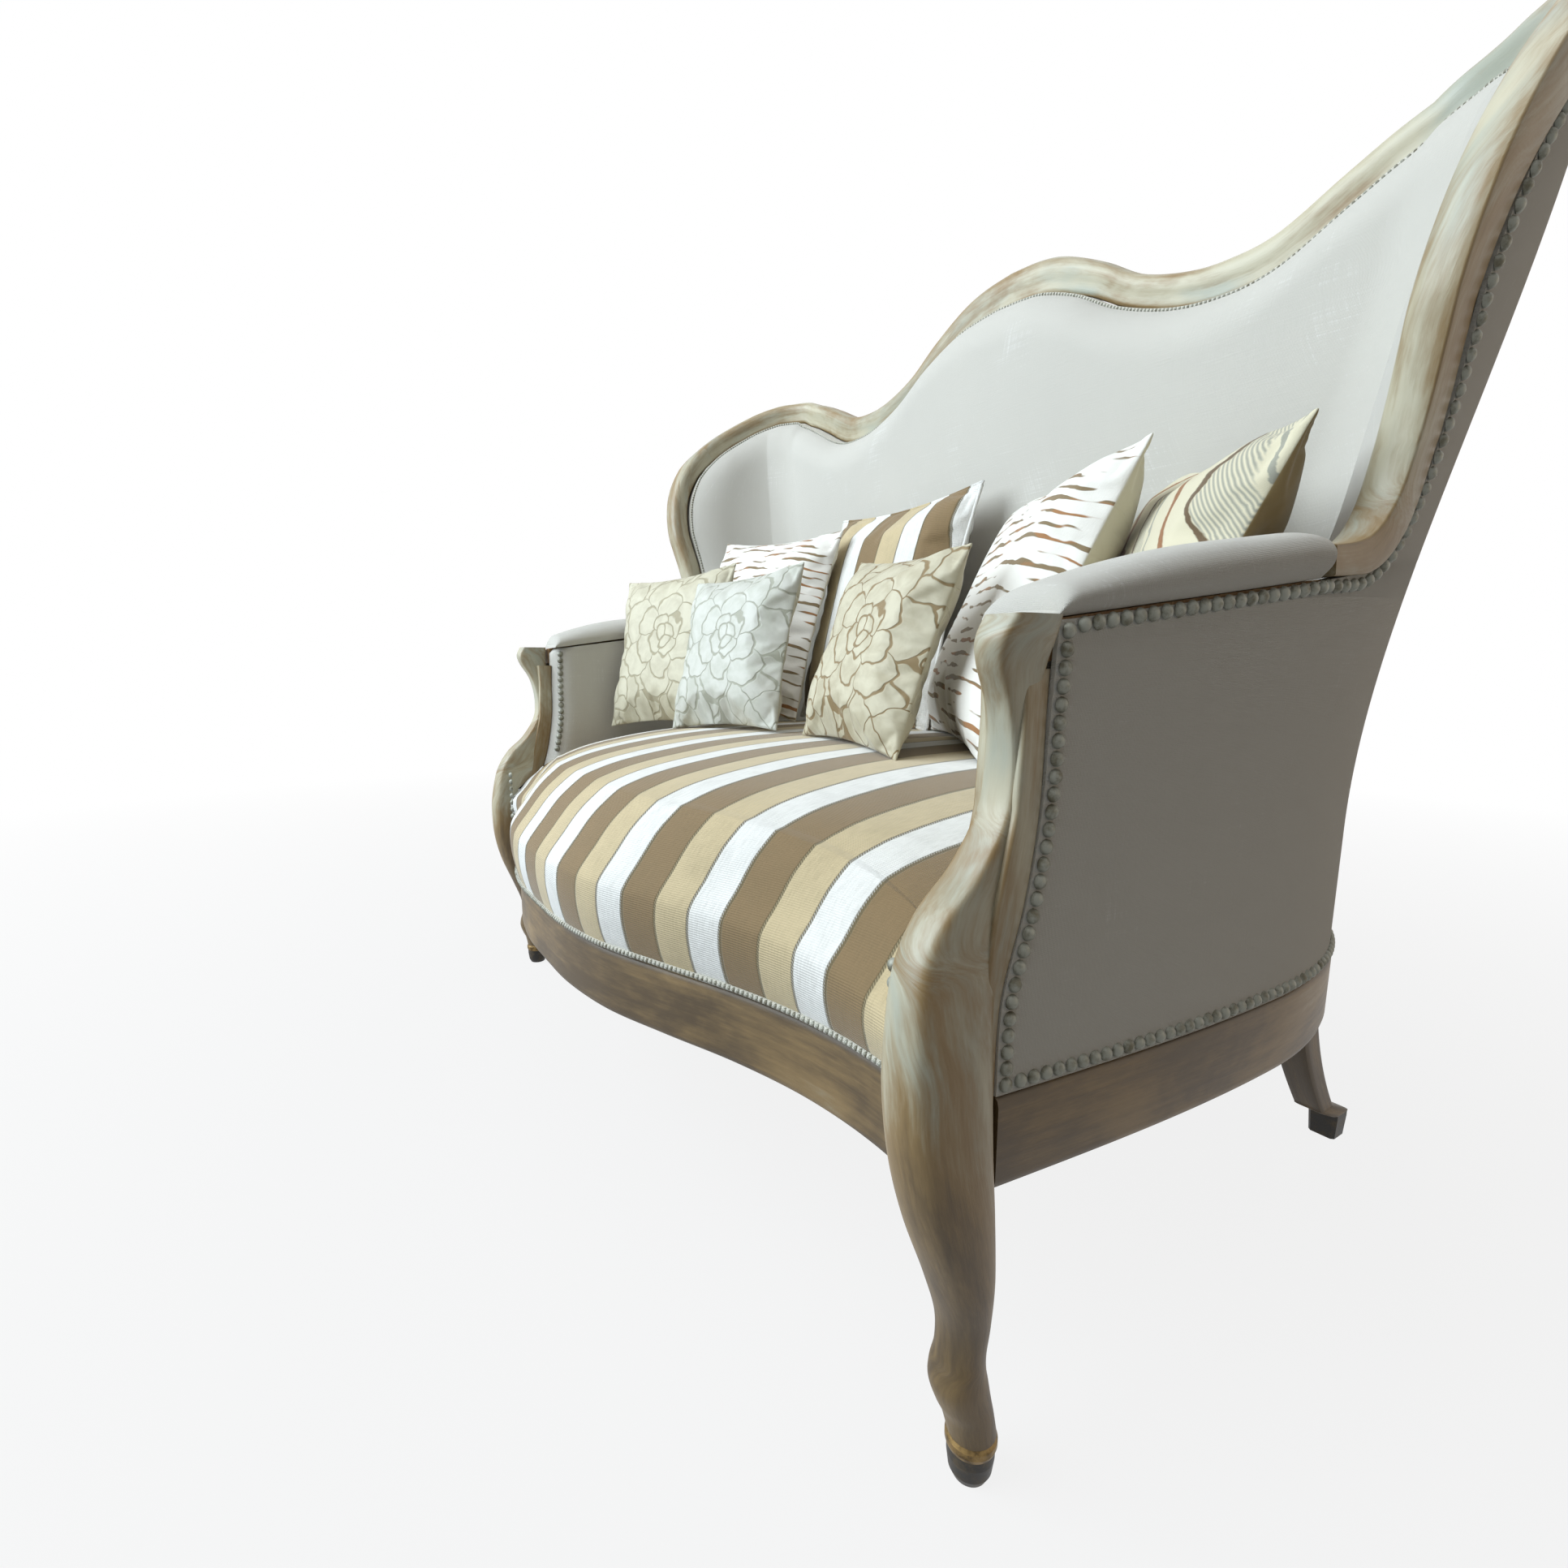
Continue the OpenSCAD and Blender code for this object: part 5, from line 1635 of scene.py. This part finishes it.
@dataclass
class Seat:
    """The striped seat and what lies under it.

    Attributes:
        rows: Knots of the cover from front to back: share of the way back, share of the swell,
            share of the height, and share of the way back below.
        front_share: Share of the way back that lies between the posts.
    """

    wardrobe: Wardrobe
    rows: tuple = (
        (0, 0, 0, 0), (0, 0.6, 0.10, 0.005), (0, 1, 0.24, 0.010), (0, 0.85, 0.37, 0.018),
        (0.026, 0, 0.52, 0.0243), (0.09, 0, 0.69, 0.0256), (0.19, 0, 0.85, 0.19), (0.32, 0, 0.94, 0.32),
        (0.45, 0, 0.985, 0.45), (0.60, 0, 1, 0.60), (0.75, 0, 1, 0.75), (0.90, 0, 0.985, 0.90),
        (1, 0, 0.96, 1))
    back_station: float = 1.5
    front_share: float = 0.15
    front_in: float = 0.022
    foam_h: float = 0.060
    sheet_t: float = 0.0015
    strap_w: float = 0.050
    strap_t: float = 0.0016
    bell_w: float = 0.03
    bell_h: float = 0.0012
    hessian_reach: float = 0.655

    def inner(self, k: Any) -> Array:
        """Plan points where the seat meets the inside cover."""
        return PLAN.at(k, PLAN.seat_base, PLAN.seat_d)[..., :2] + [0, PLAN.mid_y]

    def side_at(self, r: Array) -> Array:
        """Plan points of the seat's end, past the post and then along the arm.

        Args:
            r: Shares of the way back.

        Returns:
            Points in plan.
        """
        ends, back = PLAN.seat_half, float(PLAN.post_back_at(PLAN.seat_base))
        first = np.stack([np.full_like(r, ends), lerp(PLAN.bow_at(ends), back, r / self.front_share)], -1)
        k = lerp(3.0, self.back_station, np.clip((r - self.front_share) / (1 - self.front_share), 0, 1))
        return np.where((r < self.front_share)[..., None], first, self.inner(k))

    def point(self, u: Array, r: Array) -> Array:
        """Plan points of the seat: a blend of its front and rear, bent to its ends.

        Args:
            u: Shares across, from -1 to 1.
            r: Shares of the way back.

        Returns:
            Points in plan, before the depth is centred.
        """
        ends = PLAN.seat_half
        front = np.stack([u * ends, PLAN.bow_at(u * ends)], -1)
        rear = self.inner(np.abs(u) * self.back_station)
        rear = np.stack([np.sign(u) * rear[..., 0], rear[..., 1]], -1)
        corner = np.array([ends, float(PLAN.bow_at(ends))])
        bend = self.side_at(r) - lerp(corner, self.inner(self.back_station), r[..., None])
        return lerp(front, rear, r[..., None]) + np.stack([bend[..., 0] * u, bend[..., 1]], -1)

    def cover(self) -> None:
        """The striped cover, whose rows roll over the front and fall to the ends by a fourth power."""
        u = np.sin(np.linspace(-math.pi / 2, math.pi / 2, 181))
        row = curve(self.rows, np.linspace(0, 1, 150))
        uu, rr = np.meshgrid(u, np.clip(row[:, 0], 0, 1), indexing="ij")
        flat = self.point(uu, rr)
        base, cloth_t, front_row = PLAN.rail_top + PLAN.gap, 0.0006, 0.05
        fall = PLAN.seat_fall * (np.abs(flat[..., 0]) / PLAN.seat_half) ** 4
        z = base + row[None, :, 2] * (PLAN.seat_top - base - fall)
        y = flat[..., 1] - row[None, :, 1] * PLAN.seat_swell - PLAN.mid_y
        top = np.stack([flat[..., 0], y, z + cloth_t], -1)
        under = top.copy()
        foam_top = PLAN.seat_base + self.foam_h + PLAN.gap
        under[..., 2] = np.where(row[None, :, 0] < front_row, base, foam_top)
        deep = self.point(uu, np.clip(np.broadcast_to(row[:, 3], uu.shape), 0, 1))
        under[..., 0], under[..., 1] = deep[..., 0], deep[..., 1] - PLAN.mid_y
        run = lengths(top, 1)
        cloth = np.stack([top[..., 0], run, np.zeros_like(run)], -1)
        piece = new_piece("striped_seat_cover", [slab(top, under, {"cloth": cloth})], 70.0)
        self.wardrobe.dress(piece, "striped_fabric", cad=["striped_seat"])

    def outline(self, d: float, q: float, count: int = 60) -> Array:
        """Closed outline of the seat's layers.

        Args:
            d: Depth inside the sides and the back.
            q: Distance behind the front of the apron.
            count: Points in each run.

        Returns:
            Points in plan.
        """
        k = np.linspace(0, 3, count)
        side = PLAN.at(k, PLAN.rail_top, d)[:, :2]
        x = np.linspace(PLAN.seat_half, 0, count)
        back = float(PLAN.post_back_at(PLAN.rail_top)) + PLAN.gap - PLAN.mid_y
        post = np.array([[PLAN.seat_half, back]])
        front = np.stack([x, PLAN.bow_at(x) + q - PLAN.mid_y], -1)
        half = np.concatenate([side, post, front])
        return np.concatenate([half, half[-2:0:-1] * [-1, 1]])

    def plate(self, name: str, edge: Array, low: float, high: float, slot: str,
              cad: str) -> Piece:
        """A level layer between two heights, with rings drawn in to the middle.

        Args:
            name: Name of the piece.
            edge: Its outline in plan.
            low: Height of its underside.
            high: Height of its top.
            slot: Slot of the record.
            cad: Node that the piece replaces.

        Returns:
            The dressed piece.
        """
        middle = np.array([0.0, edge[:, 1].mean()])
        shares = np.linspace(1, 0.02, 24)[:, None, None]
        rings = middle + (edge[None] - middle) * shares
        under, over = (np.concatenate([rings, np.full(rings.shape[:2] + (1,), z)], -1) for z in (low, high))
        points = np.concatenate([under[::-1], over])
        return self.wardrobe.dress(new_piece(name, [Grid(points, True, True)], 40.0), slot, cad=[cad])

    def layers(self) -> None:
        """Foam, hessian over the webbing, and the lining under the seat."""
        edge, base = self.outline(PLAN.seat_d, self.front_in), PLAN.seat_base
        foam = self.plate("foam_slab", edge, base, base + self.foam_h, "foam", "seat_foam")
        edge, top = self.outline(PLAN.hidden_d, self.front_in), base - PLAN.gap
        cloth = self.plate("seat_hessian_sheet", edge, top - self.sheet_t, top, "jute", "seat_hessian")
        self.flat_sheet(cloth, edge, "laid", ["seat_webbing_net"])
        edge, top = self.outline(PLAN.rail_t / 4, PLAN.rail_t / 4), PLAN.rail_low - PLAN.gap
        lining = self.plate("black_lining", edge, top - self.sheet_t, top, "dust_fabric", "dust_cover")
        self.flat_sheet(lining, edge, "stretched", ["back_rail_moulding", "serpentine_apron"])

    @staticmethod
    def flat_sheet(piece: Piece, edge: Array, held: str, over: Sequence[str]) -> None:
        """Works out a flat sheet's area from its outline, half the sum of cross products, and its size, and
        keeps neither.

        Args:
            piece: The sheet, not used.
            edge: Its outline in plan.
            held: How it is held, not used.
            over: Pieces that it rests on, not used.
        """
        x, y = edge[:, 0], edge[:, 1]
        area = float(abs((x * np.roll(y, -1) - y * np.roll(x, -1)).sum()) / 2)
        size = edge.max(0) - edge.min(0)

    def webbing(self) -> None:
        """Straps woven over and under each other and tacked on the rails."""
        grids, half = [], self.strap_w / 2
        reach = (PLAN.side_half - PLAN.corner_w) * 0.93
        columns = np.linspace(-reach, reach, 7)
        depths = np.linspace(PLAN.post_back + self.strap_w, PLAN.back_line - PLAN.corner_d / 2, 5)
        for i, x in enumerate(columns):
            start = float(max(PLAN.bow_at(abs(x) + half), PLAN.bow_at(abs(x) - half))) + self.front_in
            y = np.linspace(start, float(PLAN.back_at(PLAN.rail_top)) - PLAN.hidden_d, 80)
            grids.append(self.strap(np.full_like(y, x), y, self.heave(y, depths, i), False))
        line = PLAN.at(np.linspace(1, 3, 400), PLAN.rail_top, PLAN.hidden_d)
        for j, d in enumerate(depths):
            side = np.interp([-(d + half), -(d - half)], -(line[:, 1] + PLAN.mid_y), line[:, 0]).min()
            x = np.linspace(-side, side, 120)
            grids.append(self.strap(x, np.full_like(x, d), self.heave(x, columns, j + 1), True))
        piece = new_piece("seat_webbing_net", grids)
        self.wardrobe.dress(piece, "jute", cad=["seat_webbing"])

    def heave(self, run: Array, crossed: Array, turn: int) -> Array:
        """Height of a strap over and under those that it crosses, by bell curves of alternate sign.

        Args:
            run: Places along the strap.
            crossed: Middles of the straps that it crosses.
            turn: Number that sets whether it starts over or under.

        Returns:
            Its heights.
        """
        sign = np.where((np.arange(len(crossed)) + turn) % 2, 1, -1)
        bells = np.exp(-((run[:, None] - crossed) / self.bell_w) ** 2)
        return PLAN.rail_top + PLAN.gap + 2 * self.bell_h + self.bell_h * (bells * sign).sum(-1)

    def strap(self, x: Array, y: Array, z: Array, across: bool) -> Grid:
        """One flat strap.

        Args:
            x: Places across the sofa.
            y: Depths in plan.
            z: Heights.
            across: True if it runs from side to side.

        Returns:
            Its skin.
        """
        w, t = self.strap_w / 2, self.strap_t / 2
        shape = np.array([[-w, -t], [w, -t], [w, t], [-w, t]])
        side = shape[None, :, 0]
        px = x[:, None] + side * (not across)
        py = y[:, None] + side * across - PLAN.mid_y
        return Grid(np.stack([px, py, z[:, None] + shape[None, :, 1]], -1), True, True)

    def back_hessian(self) -> None:
        """Hessian behind the stuffing of the back, laced over the uprights."""
        reach, covers = self.hessian_reach, Covers(self.wardrobe)
        k = np.linspace(-reach, reach, 30)[:, None]
        top = float(PLAN.edge_height(np.linspace(0, reach, 30)).min()) - PLAN.rim_t
        z = np.linspace(PLAN.seat_base, top, 30)[None]
        one, other = PLAN.at(k, z, PLAN.hidden_d), PLAN.at(k, z, PLAN.hidden_d + self.sheet_t)
        piece = covers.sheet("back_hessian_sheet", one, other, "jute", ["back_hessian"])
        covers.stretched(piece, one, ["back_rail_moulding"])

    def build(self) -> None:
        """Makes the seat, from the cover to the lining."""
        self.cover()
        self.webbing()
        self.layers()
        self.back_hessian()


@dataclass(frozen=True)
class Pillow:
    """One loose pillow.

    Attributes:
        node: Node that it replaces.
        spot: Place across and back, in shares of the half width and depth, and lift in shares of its side.
        turn: Yaw, lean and roll in degrees.
        side: Side in metres.
        thick: Thickness in metres.
        slot: Slot of the record.
        finish: Name of its finish.
        piped: True if a cord is sewn in its seam.
    """

    node: str
    spot: tuple[float, float, float]
    turn: tuple[float, float, float]
    side: float
    thick: float
    slot: str
    finish: str
    piped: bool = False
    seam_t: float = 0.0024
    drawn_in: float = 0.075
    flatness: float = 0.62

    def axes(self) -> tuple[Array, Array]:
        """Where the pillow stands.

        Returns:
            Its middle, and its own directions as the rows of a matrix.
        """
        yaw, lean, roll = (math.radians(a) for a in self.turn)
        turned = (Matrix.Rotation(yaw, 3, "Z") @ Matrix.Rotation(-lean, 3, "X")
                  @ Matrix.Rotation(roll, 3, "Y"))
        middle = np.array([self.spot[0] * PLAN.side_half, self.spot[1] * PLAN.back_line - PLAN.mid_y,
                           PLAN.seat_top + self.spot[2] * self.side])
        return middle, np.array(turned.transposed())

    def envelope(self, u: Array, v: Array) -> Array:
        """Half thickness over the face: a crowned product of one minus fourth powers."""
        body = np.clip((1 - u ** 4) * (1 - v ** 4), 0, 1) ** self.flatness
        return (self.seam_t + (self.thick - self.seam_t) * body) / 2

    def outline(self, u: Array, v: Array) -> tuple[Array, Array]:
        """Plan of the face: its sides draw in between the corners by a square law."""
        half, draw = self.side / 2, self.drawn_in
        return u * half * (1 - draw * (1 - v * v)), v * half * (1 - draw * (1 - u * u))


@dataclass
class PillowRow:
    """The seven loose pillows on the seat, which start a little thinner than they end."""

    wardrobe: Wardrobe
    cord_r: float = 0.0030
    seam_d: float = 0.0014
    start_share: float = 0.84
    pressure: float = 4.0
    spare_share: float = 0.03
    steps: int = 16
    marks: int = 57
    even_share: float = 0.65
    pillows: tuple = (
        Pillow("floral_pillow_beige", (-0.631, 0.339, 0.4438), (17.5, 13.7, -3.3), 0.3132, 0.084,
               "brown_floral_fabric", "beige_floral"),
        Pillow("tiger_pillow_left", (-0.606, 0.612, 0.499), (8.1, 16.3, 2.8), 0.3822, 0.099,
               "tiger_fabric", "tiger_fabric"),
        Pillow("floral_pillow_silver", (-0.259, 0.349, 0.4690), (10.8, 15.8, -3.1), 0.2813, 0.084,
               "silver_floral_fabric", "silver_floral_fabric"),
        Pillow("striped_pillow", (-0.2065, 0.762, 0.4848), (-4, 14.2, 0.1), 0.420, 0.110,
               "striped_fabric", "pillow_stripes", True),
        Pillow("floral_pillow_brown", (0.258, 0.394, 0.4543), (-9, 19.9, 1.9), 0.2813, 0.084,
               "brown_floral_fabric", "brown_floral_fabric"),
        Pillow("tiger_pillow_right", (0.4004, 0.629, 0.4387), (-33.3, 24.1, 2), 0.4074, 0.1188,
               "tiger_fabric", "tiger_fabric"),
        Pillow("leaf_pillow", (0.695, 0.622, 0.4024), (-43.1, 23, 5.5), 0.399, 0.110,
               "leaf_fabric", "leaf_fabric"))

    def shape(self, pillow: Pillow) -> Piece:
        """The pillow as two crowned faces that meet in the seam, a little under its full thickness.

        Args:
            pillow: One row of the table.

        Returns:
            The piece.
        """
        even = np.linspace(-1, 1, self.marks)
        marks = lerp(np.sin(even * math.pi / 2), even, self.even_share)
        u, v = np.meshgrid(marks, marks, indexing="ij")
        x, z = pillow.outline(u, v)
        y = np.maximum(pillow.envelope(u, v) * self.start_share, self.seam_d)
        middle, axes = pillow.axes()
        faces = [np.stack([x, side * y, z], -1) @ axes + middle for side in (-1, 1)]
        return new_piece(pillow.node + "_cushion", [slab(faces[0], faces[1])], 75.0)

    def fill(self, pieces: Sequence[Piece]) -> None:
        """Blows the covers up by cloth simulation, with their seams pinned.

        No point moves further than from the starting crown to the full one, so that the
        pillows stay clear of each other.

        Args:
            pieces: The pillows in their starting shape, in the order of the table.
        """
        starts = [points_of(piece.data) for piece in pieces]
        near_seam = self.seam_d * 1.02
        for pillow, piece, start in zip(self.pillows, pieces, starts):
            middle, axes = pillow.axes()
            seam = np.flatnonzero(np.abs((start - middle) @ axes[1]) < near_seam)
            piece.vertex_groups.new(name="seam").add(seam.tolist(), 1.0, "REPLACE")
            cloth = piece.modifiers.new("filling", "CLOTH")
            for key, value in (("use_pressure", True), ("uniform_pressure_force", self.pressure),
                               ("shrink_min", -self.spare_share), ("vertex_group_mass", "seam"),
                               ("bending_stiffness", 0.3), ("quality", 5)):
                setattr(cloth.settings, key, value)
            cloth.settings.effector_weights.gravity = 0.0
            cloth.point_cache.frame_start, cloth.point_cache.frame_end = 1, self.steps
        for step in range(1, self.steps + 1):
            bpy.context.scene.frame_set(step)
        graph = bpy.context.evaluated_depsgraph_get()
        for pillow, piece, start in zip(self.pillows, pieces, starts):
            room = (1 - self.start_share) * pillow.thick / 2
            move = points_of(piece.evaluated_get(graph).data) - start
            far = np.linalg.norm(move, axis=1, keepdims=True)
            piece.modifiers.clear()
            piece.vertex_groups.clear()
            kept = start + move * np.minimum(1.0, room / np.maximum(far, TINY))
            piece.data.vertices.foreach_set("co", kept.ravel())
            piece.data.update()
            piece.modifiers.new("smooth", "SUBSURF").levels = 1
            piece.modifiers["smooth"].render_levels = 1
            log.info("%s: filled, largest move %.1f mm", piece.name, float(far.max()) * 1000)
        bpy.context.scene.frame_set(1)

    def piping(self, pillow: Pillow) -> None:
        """A cord round the seam of a pillow, in the same cloth.

        Args:
            pillow: One row of the table.
        """
        edge = np.linspace(-1, 1, 80)[:-1]
        one = np.ones_like(edge)
        u, v = np.concatenate([edge, one, -edge, -one]), np.concatenate([-one, edge, one, -edge])
        x, z = pillow.outline(u, v)
        middle, axes = pillow.axes()
        cord = tube(np.stack([x, 0 * x, z], -1) @ axes + middle, self.cord_r, 8, True)
        piece = new_piece(pillow.node + "_piping", [cord], 80.0)
        self.pattern(pillow, piece)
        self.wardrobe.dress(piece, pillow.slot, pillow.finish)

    def pattern(self, pillow: Pillow, piece: Piece) -> None:
        """Stores each point's place on the pillow's own face for the finish to read.

        Args:
            pillow: One row of the table.
            piece: Its cover or its piping.
        """
        middle, axes = pillow.axes()
        own = (points_of(piece.data) - middle) @ axes.T
        metric = pillow.finish in ("pillow_stripes", "tiger_fabric")
        scale = 1.0 if metric else 2 / pillow.side
        values = np.stack([own[:, 0] * scale, own[:, 2] * scale, own[:, 1]], -1)
        stored = piece.data.attributes.new("cloth", "FLOAT_VECTOR", "POINT")
        stored.data.foreach_set("vector", values.ravel())

    def build(self) -> None:
        """Makes, fills and dresses the pillows."""
        pieces = [self.shape(pillow) for pillow in self.pillows]
        self.fill(pieces)
        for pillow, piece in zip(self.pillows, pieces):
            if pillow.piped:
                self.piping(pillow)
            self.pattern(pillow, piece)
            self.wardrobe.dress(piece, pillow.slot, pillow.finish, [pillow.node])


# Nails and gimp

@dataclass
class Trimming:
    """Rows of large nail heads on the outside and fine beaded gimp on the inside."""

    wardrobe: Wardrobe
    nail_r: float = 0.0062
    nail_h: float = 0.0054
    pitch: float = 0.0132
    sunk: float = 0.0003
    inset: float = 0.0085
    arm_inset: float = 0.0068
    arm_z: float = 0.475
    arm_k: float = 2.965
    seat_z: float = 0.425
    bead_r: float = 0.0026
    bead_pitch: float = 0.0062
    band_r: float = 0.0030
    end_in: float = 0.012

    def rows(self) -> list[tuple[Array, Array]]:
        """Large nails on the outside: up the post, along the rail, along the arm and up the frame.

        Returns:
            Points and outward normals of each line on the right side.
        """
        rear_k, _ = PLAN.arm_foot()
        up = np.linspace(PLAN.rail_top + self.inset, PLAN.arm_front_z - self.inset, 90)
        post = 3 - self.inset / (PLAN.back_at(up) - PLAN.corner_d_at(up) - PLAN.post_back_at(up))
        start = float(post[0]) - 0.04
        low, arm = np.linspace(start, 0, 200), np.linspace(start, rear_k + 0.02, 80)
        lines = ((post, up), (low, np.full_like(low, PLAN.rail_top + self.inset)),
                 (arm, PLAN.arm_line(arm) - self.arm_inset),
                 PLAN.rim_edge(np.linspace(1, 0, 500), self.arm_inset))
        return [(PLAN.at(k, z, 0.0), -PLAN.inward(k, z)) for k, z in lines]

    def inner_rows(self) -> list[tuple[Array, Array]]:
        """Nails inside the arm's front edge and at the seat's front end by the post.

        Returns:
            Points and outward normals of each line on the right side.
        """
        z = np.linspace(self.arm_z, PLAN.arm_front_z - self.end_in, 40)
        k = np.full_like(z, self.arm_k)
        lines = [(PLAN.at(k, z, Covers(self.wardrobe).depth(k, z)), PLAN.inward(k, z))]
        x = PLAN.post_inner - 0.009
        z = np.linspace(PLAN.rail_top + 0.014, self.seat_z, 20)
        y = float(PLAN.bow_at(x)) - PLAN.seat_swell - PLAN.mid_y + 0.001
        points = np.stack([np.full_like(z, x), np.full_like(z, y), z], -1)
        return lines + [(points, np.broadcast_to([0.0, -1.0, 0.0], points.shape))]

    def gimp_lines(self) -> list[tuple[Array, Array]]:
        """The fine beads: inside the back frame, and along the seat's lower front.

        Returns:
            Points and outward normals of each line.
        """
        k, z = PLAN.rim_edge(np.linspace(0, 0.93, 500), 0.0045)
        right = PLAN.at(k, z, Covers(self.wardrobe).depth(k, z) - 0.0005)
        halves = (right, PLAN.inward(k, z))
        frame_line = tuple(np.concatenate([mirror(half[:0:-1]), half]) for half in halves)
        x = np.linspace(-PLAN.post_inner + self.end_in, PLAN.post_inner - self.end_in, 300)
        y = PLAN.bow_at(x) - PLAN.seat_swell * 0.35 - PLAN.mid_y
        points = np.stack([x, y, np.full_like(x, PLAN.rail_top + 0.0065)], -1)
        normals = unit(np.stack([np.gradient(y, x), -np.ones_like(x), np.full_like(x, 0.3)], -1))
        return [frame_line, (points, normals)]

    def build(self) -> None:
        """Makes the nails of both sides, and the gimp with its beads."""
        for hand, turned in HANDS:
            domes = []
            for points, normals in self.rows() + self.inner_rows():
                at, out = spaced(turned(points), turned(normals), self.pitch)
                domes.append(beads(at - out * self.sunk, out, self.nail_r, self.nail_h))
            self.wardrobe.dress(dome_piece(f"{hand}_nail_heads", domes), "nail_metal")
        domes, cords = [], []
        for points, normals in self.gimp_lines():
            at, out = spaced(points, normals, self.bead_pitch)
            domes.append(beads(at + out * 0.4 * self.band_r, out, self.bead_r, self.bead_r * 1.1, 4, 8))
            cords.append(tube(points, self.band_r, 8))
        self.wardrobe.dress(dome_piece("gimp_beads", domes), "nail_metal")
        self.wardrobe.dress(new_piece("gimp_band", cords, 80.0), "gimp_fabric")


# Stage, light and camera

@dataclass
class Studio:
    """Pale floor, soft light and the camera of the photograph.

    Attributes:
        glow: Distances between which the floor's own white grows, and its shares there.
        lamps: Name, place, aim, side, watts and colour of each lamp.
    """

    place: tuple[float, float, float] = (1.021, -0.72435, 0.650)
    pitch: float = 81.145
    yaw: float = 57.53
    focal: float = 950.0
    image: float = 1932.0
    sensor: float = 36.0
    floor_half: float = 14.0
    floor_tone: Colour = (0.34, 0.34, 0.34, 1.0)
    glow: tuple[float, ...] = (0.8, 4.0, 0.86, 1.0)
    sky: Colour = (1.0, 0.97, 0.92, 1.0)
    sky_share: float = 0.10
    lamps: tuple = (
        ("window_light", (-1.4, -3.4, 2.9), (0.0, 0.2, 0.7), 3.6, 325.0, (0.82, 0.92, 1.0)),
        ("top_light", (0.4, -0.6, 3.6), (0.0, 0.1, 0.5), 2.5, 34.0, (0.97, 0.99, 1.0)),
        ("room_light", (3.0, 2.2, 1.2), (0.2, 0.0, 0.6), 2.0, 13.0, (1.0, 0.74, 0.46)))

    def camera(self) -> None:
        """A camera with the photograph's place, turn and focal length."""
        data = bpy.data.cameras.new("photo_camera")
        data.sensor_width = self.sensor
        data.lens = self.focal / self.image * self.sensor
        data.clip_start = 0.01
        camera = bpy.data.objects.new("photo_camera", data)
        camera.location = self.place
        camera.rotation_euler = Euler((math.radians(self.pitch), 0.0, math.radians(self.yaw)))
        bpy.context.scene.collection.objects.link(camera)
        bpy.context.scene.camera = camera

    def floor(self) -> None:
        """A wide pale floor that shows near white and keeps the shadow."""
        mesh = bpy.data.meshes.new("studio_floor")
        s = self.floor_half
        mesh.from_pydata([(-s, -s, 0), (s, -s, 0), (s, s, 0), (-s, s, 0)], [], [(0, 1, 2, 3)])
        plane = bpy.data.objects.new("studio_floor", mesh)
        bpy.context.scene.collection.objects.link(plane)
        shader = Shader("studio_floor")
        away = shader.node("VectorMath", {0: shader.place()}, "Value", operation="LENGTH")
        ends = dict(zip(("From Min", "From Max", "To Min", "To Max"), self.glow))
        share = shader.seen() * shader.node("MapRange", {"Value": away, **ends})
        matt = shader.node("BsdfDiffuse", {"Color": self.floor_tone})
        shader.close(shader.node("MixShader", {0: share, 1: matt, 2: shader.node("Emission")}))
        mesh.materials.append(shader.owner)

    def world(self) -> None:
        """Soft even light from all round, seen as white."""
        world = bpy.data.worlds.new("studio_world")
        bpy.context.scene.world = world
        nodes = Nodes(world)
        dim = nodes.node("Background", {"Color": self.sky, "Strength": self.sky_share})
        white = nodes.node("Background", {"Color": (1.0, 1.0, 1.0, 1.0), "Strength": 1.0})
        nodes.close(nodes.node("MixShader", {0: nodes.seen(), 1: dim, 2: white}))

    def lamp(self, name: str, at: Sequence[float], aim: Sequence[float], size: float, power: float,
             tint: Sequence[float]) -> None:
        """A square soft lamp.

        Args:
            name: Name of the lamp.
            at: Where it stands.
            aim: What it points at.
            size: Side of the lamp.
            power: Power in watts.
            tint: Colour of its light.
        """
        data = bpy.data.lights.new(name, "AREA")
        data.shape, data.size, data.energy, data.color = "SQUARE", size, power, tint
        lamp = bpy.data.objects.new(name, data)
        lamp.location = at
        lamp.rotation_euler = (Vector(aim) - Vector(at)).to_track_quat("-Z", "Y").to_euler()
        bpy.context.scene.collection.objects.link(lamp)

    def build(self) -> None:
        """Makes the stage, the lights and the camera."""
        bpy.context.scene.view_settings.view_transform = "Standard"
        self.camera()
        self.floor()
        self.world()
        for row in self.lamps:
            self.lamp(*row)


def dress_carcass(wardrobe: Wardrobe) -> None:
    """Gives every node that stays in the scene the finish of its slot.

    Args:
        wardrobe: All finishes.
    """
    slots = {part["node"]: part["material_slot"] for part in frame["record"]["subparts"]}
    for name, piece in frame["nodes"].items():
        piece.data.materials.clear()
        piece.data.materials.append(wardrobe.made[slots[name]])


def main() -> None:
    """Builds the sofa piece by piece, then the studio round it."""
    logging.basicConfig(level=logging.INFO, format="%(name)s: %(message)s")
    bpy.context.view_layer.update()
    wardrobe = Wardrobe()
    dress_carcass(wardrobe)
    Studio().build()
    for part in (ShowWood, Covers, Seat, PillowRow, Trimming):
        part(wardrobe).build()
        log.info("%s is done", part.__name__)


if __name__ == "__main__":
    main()
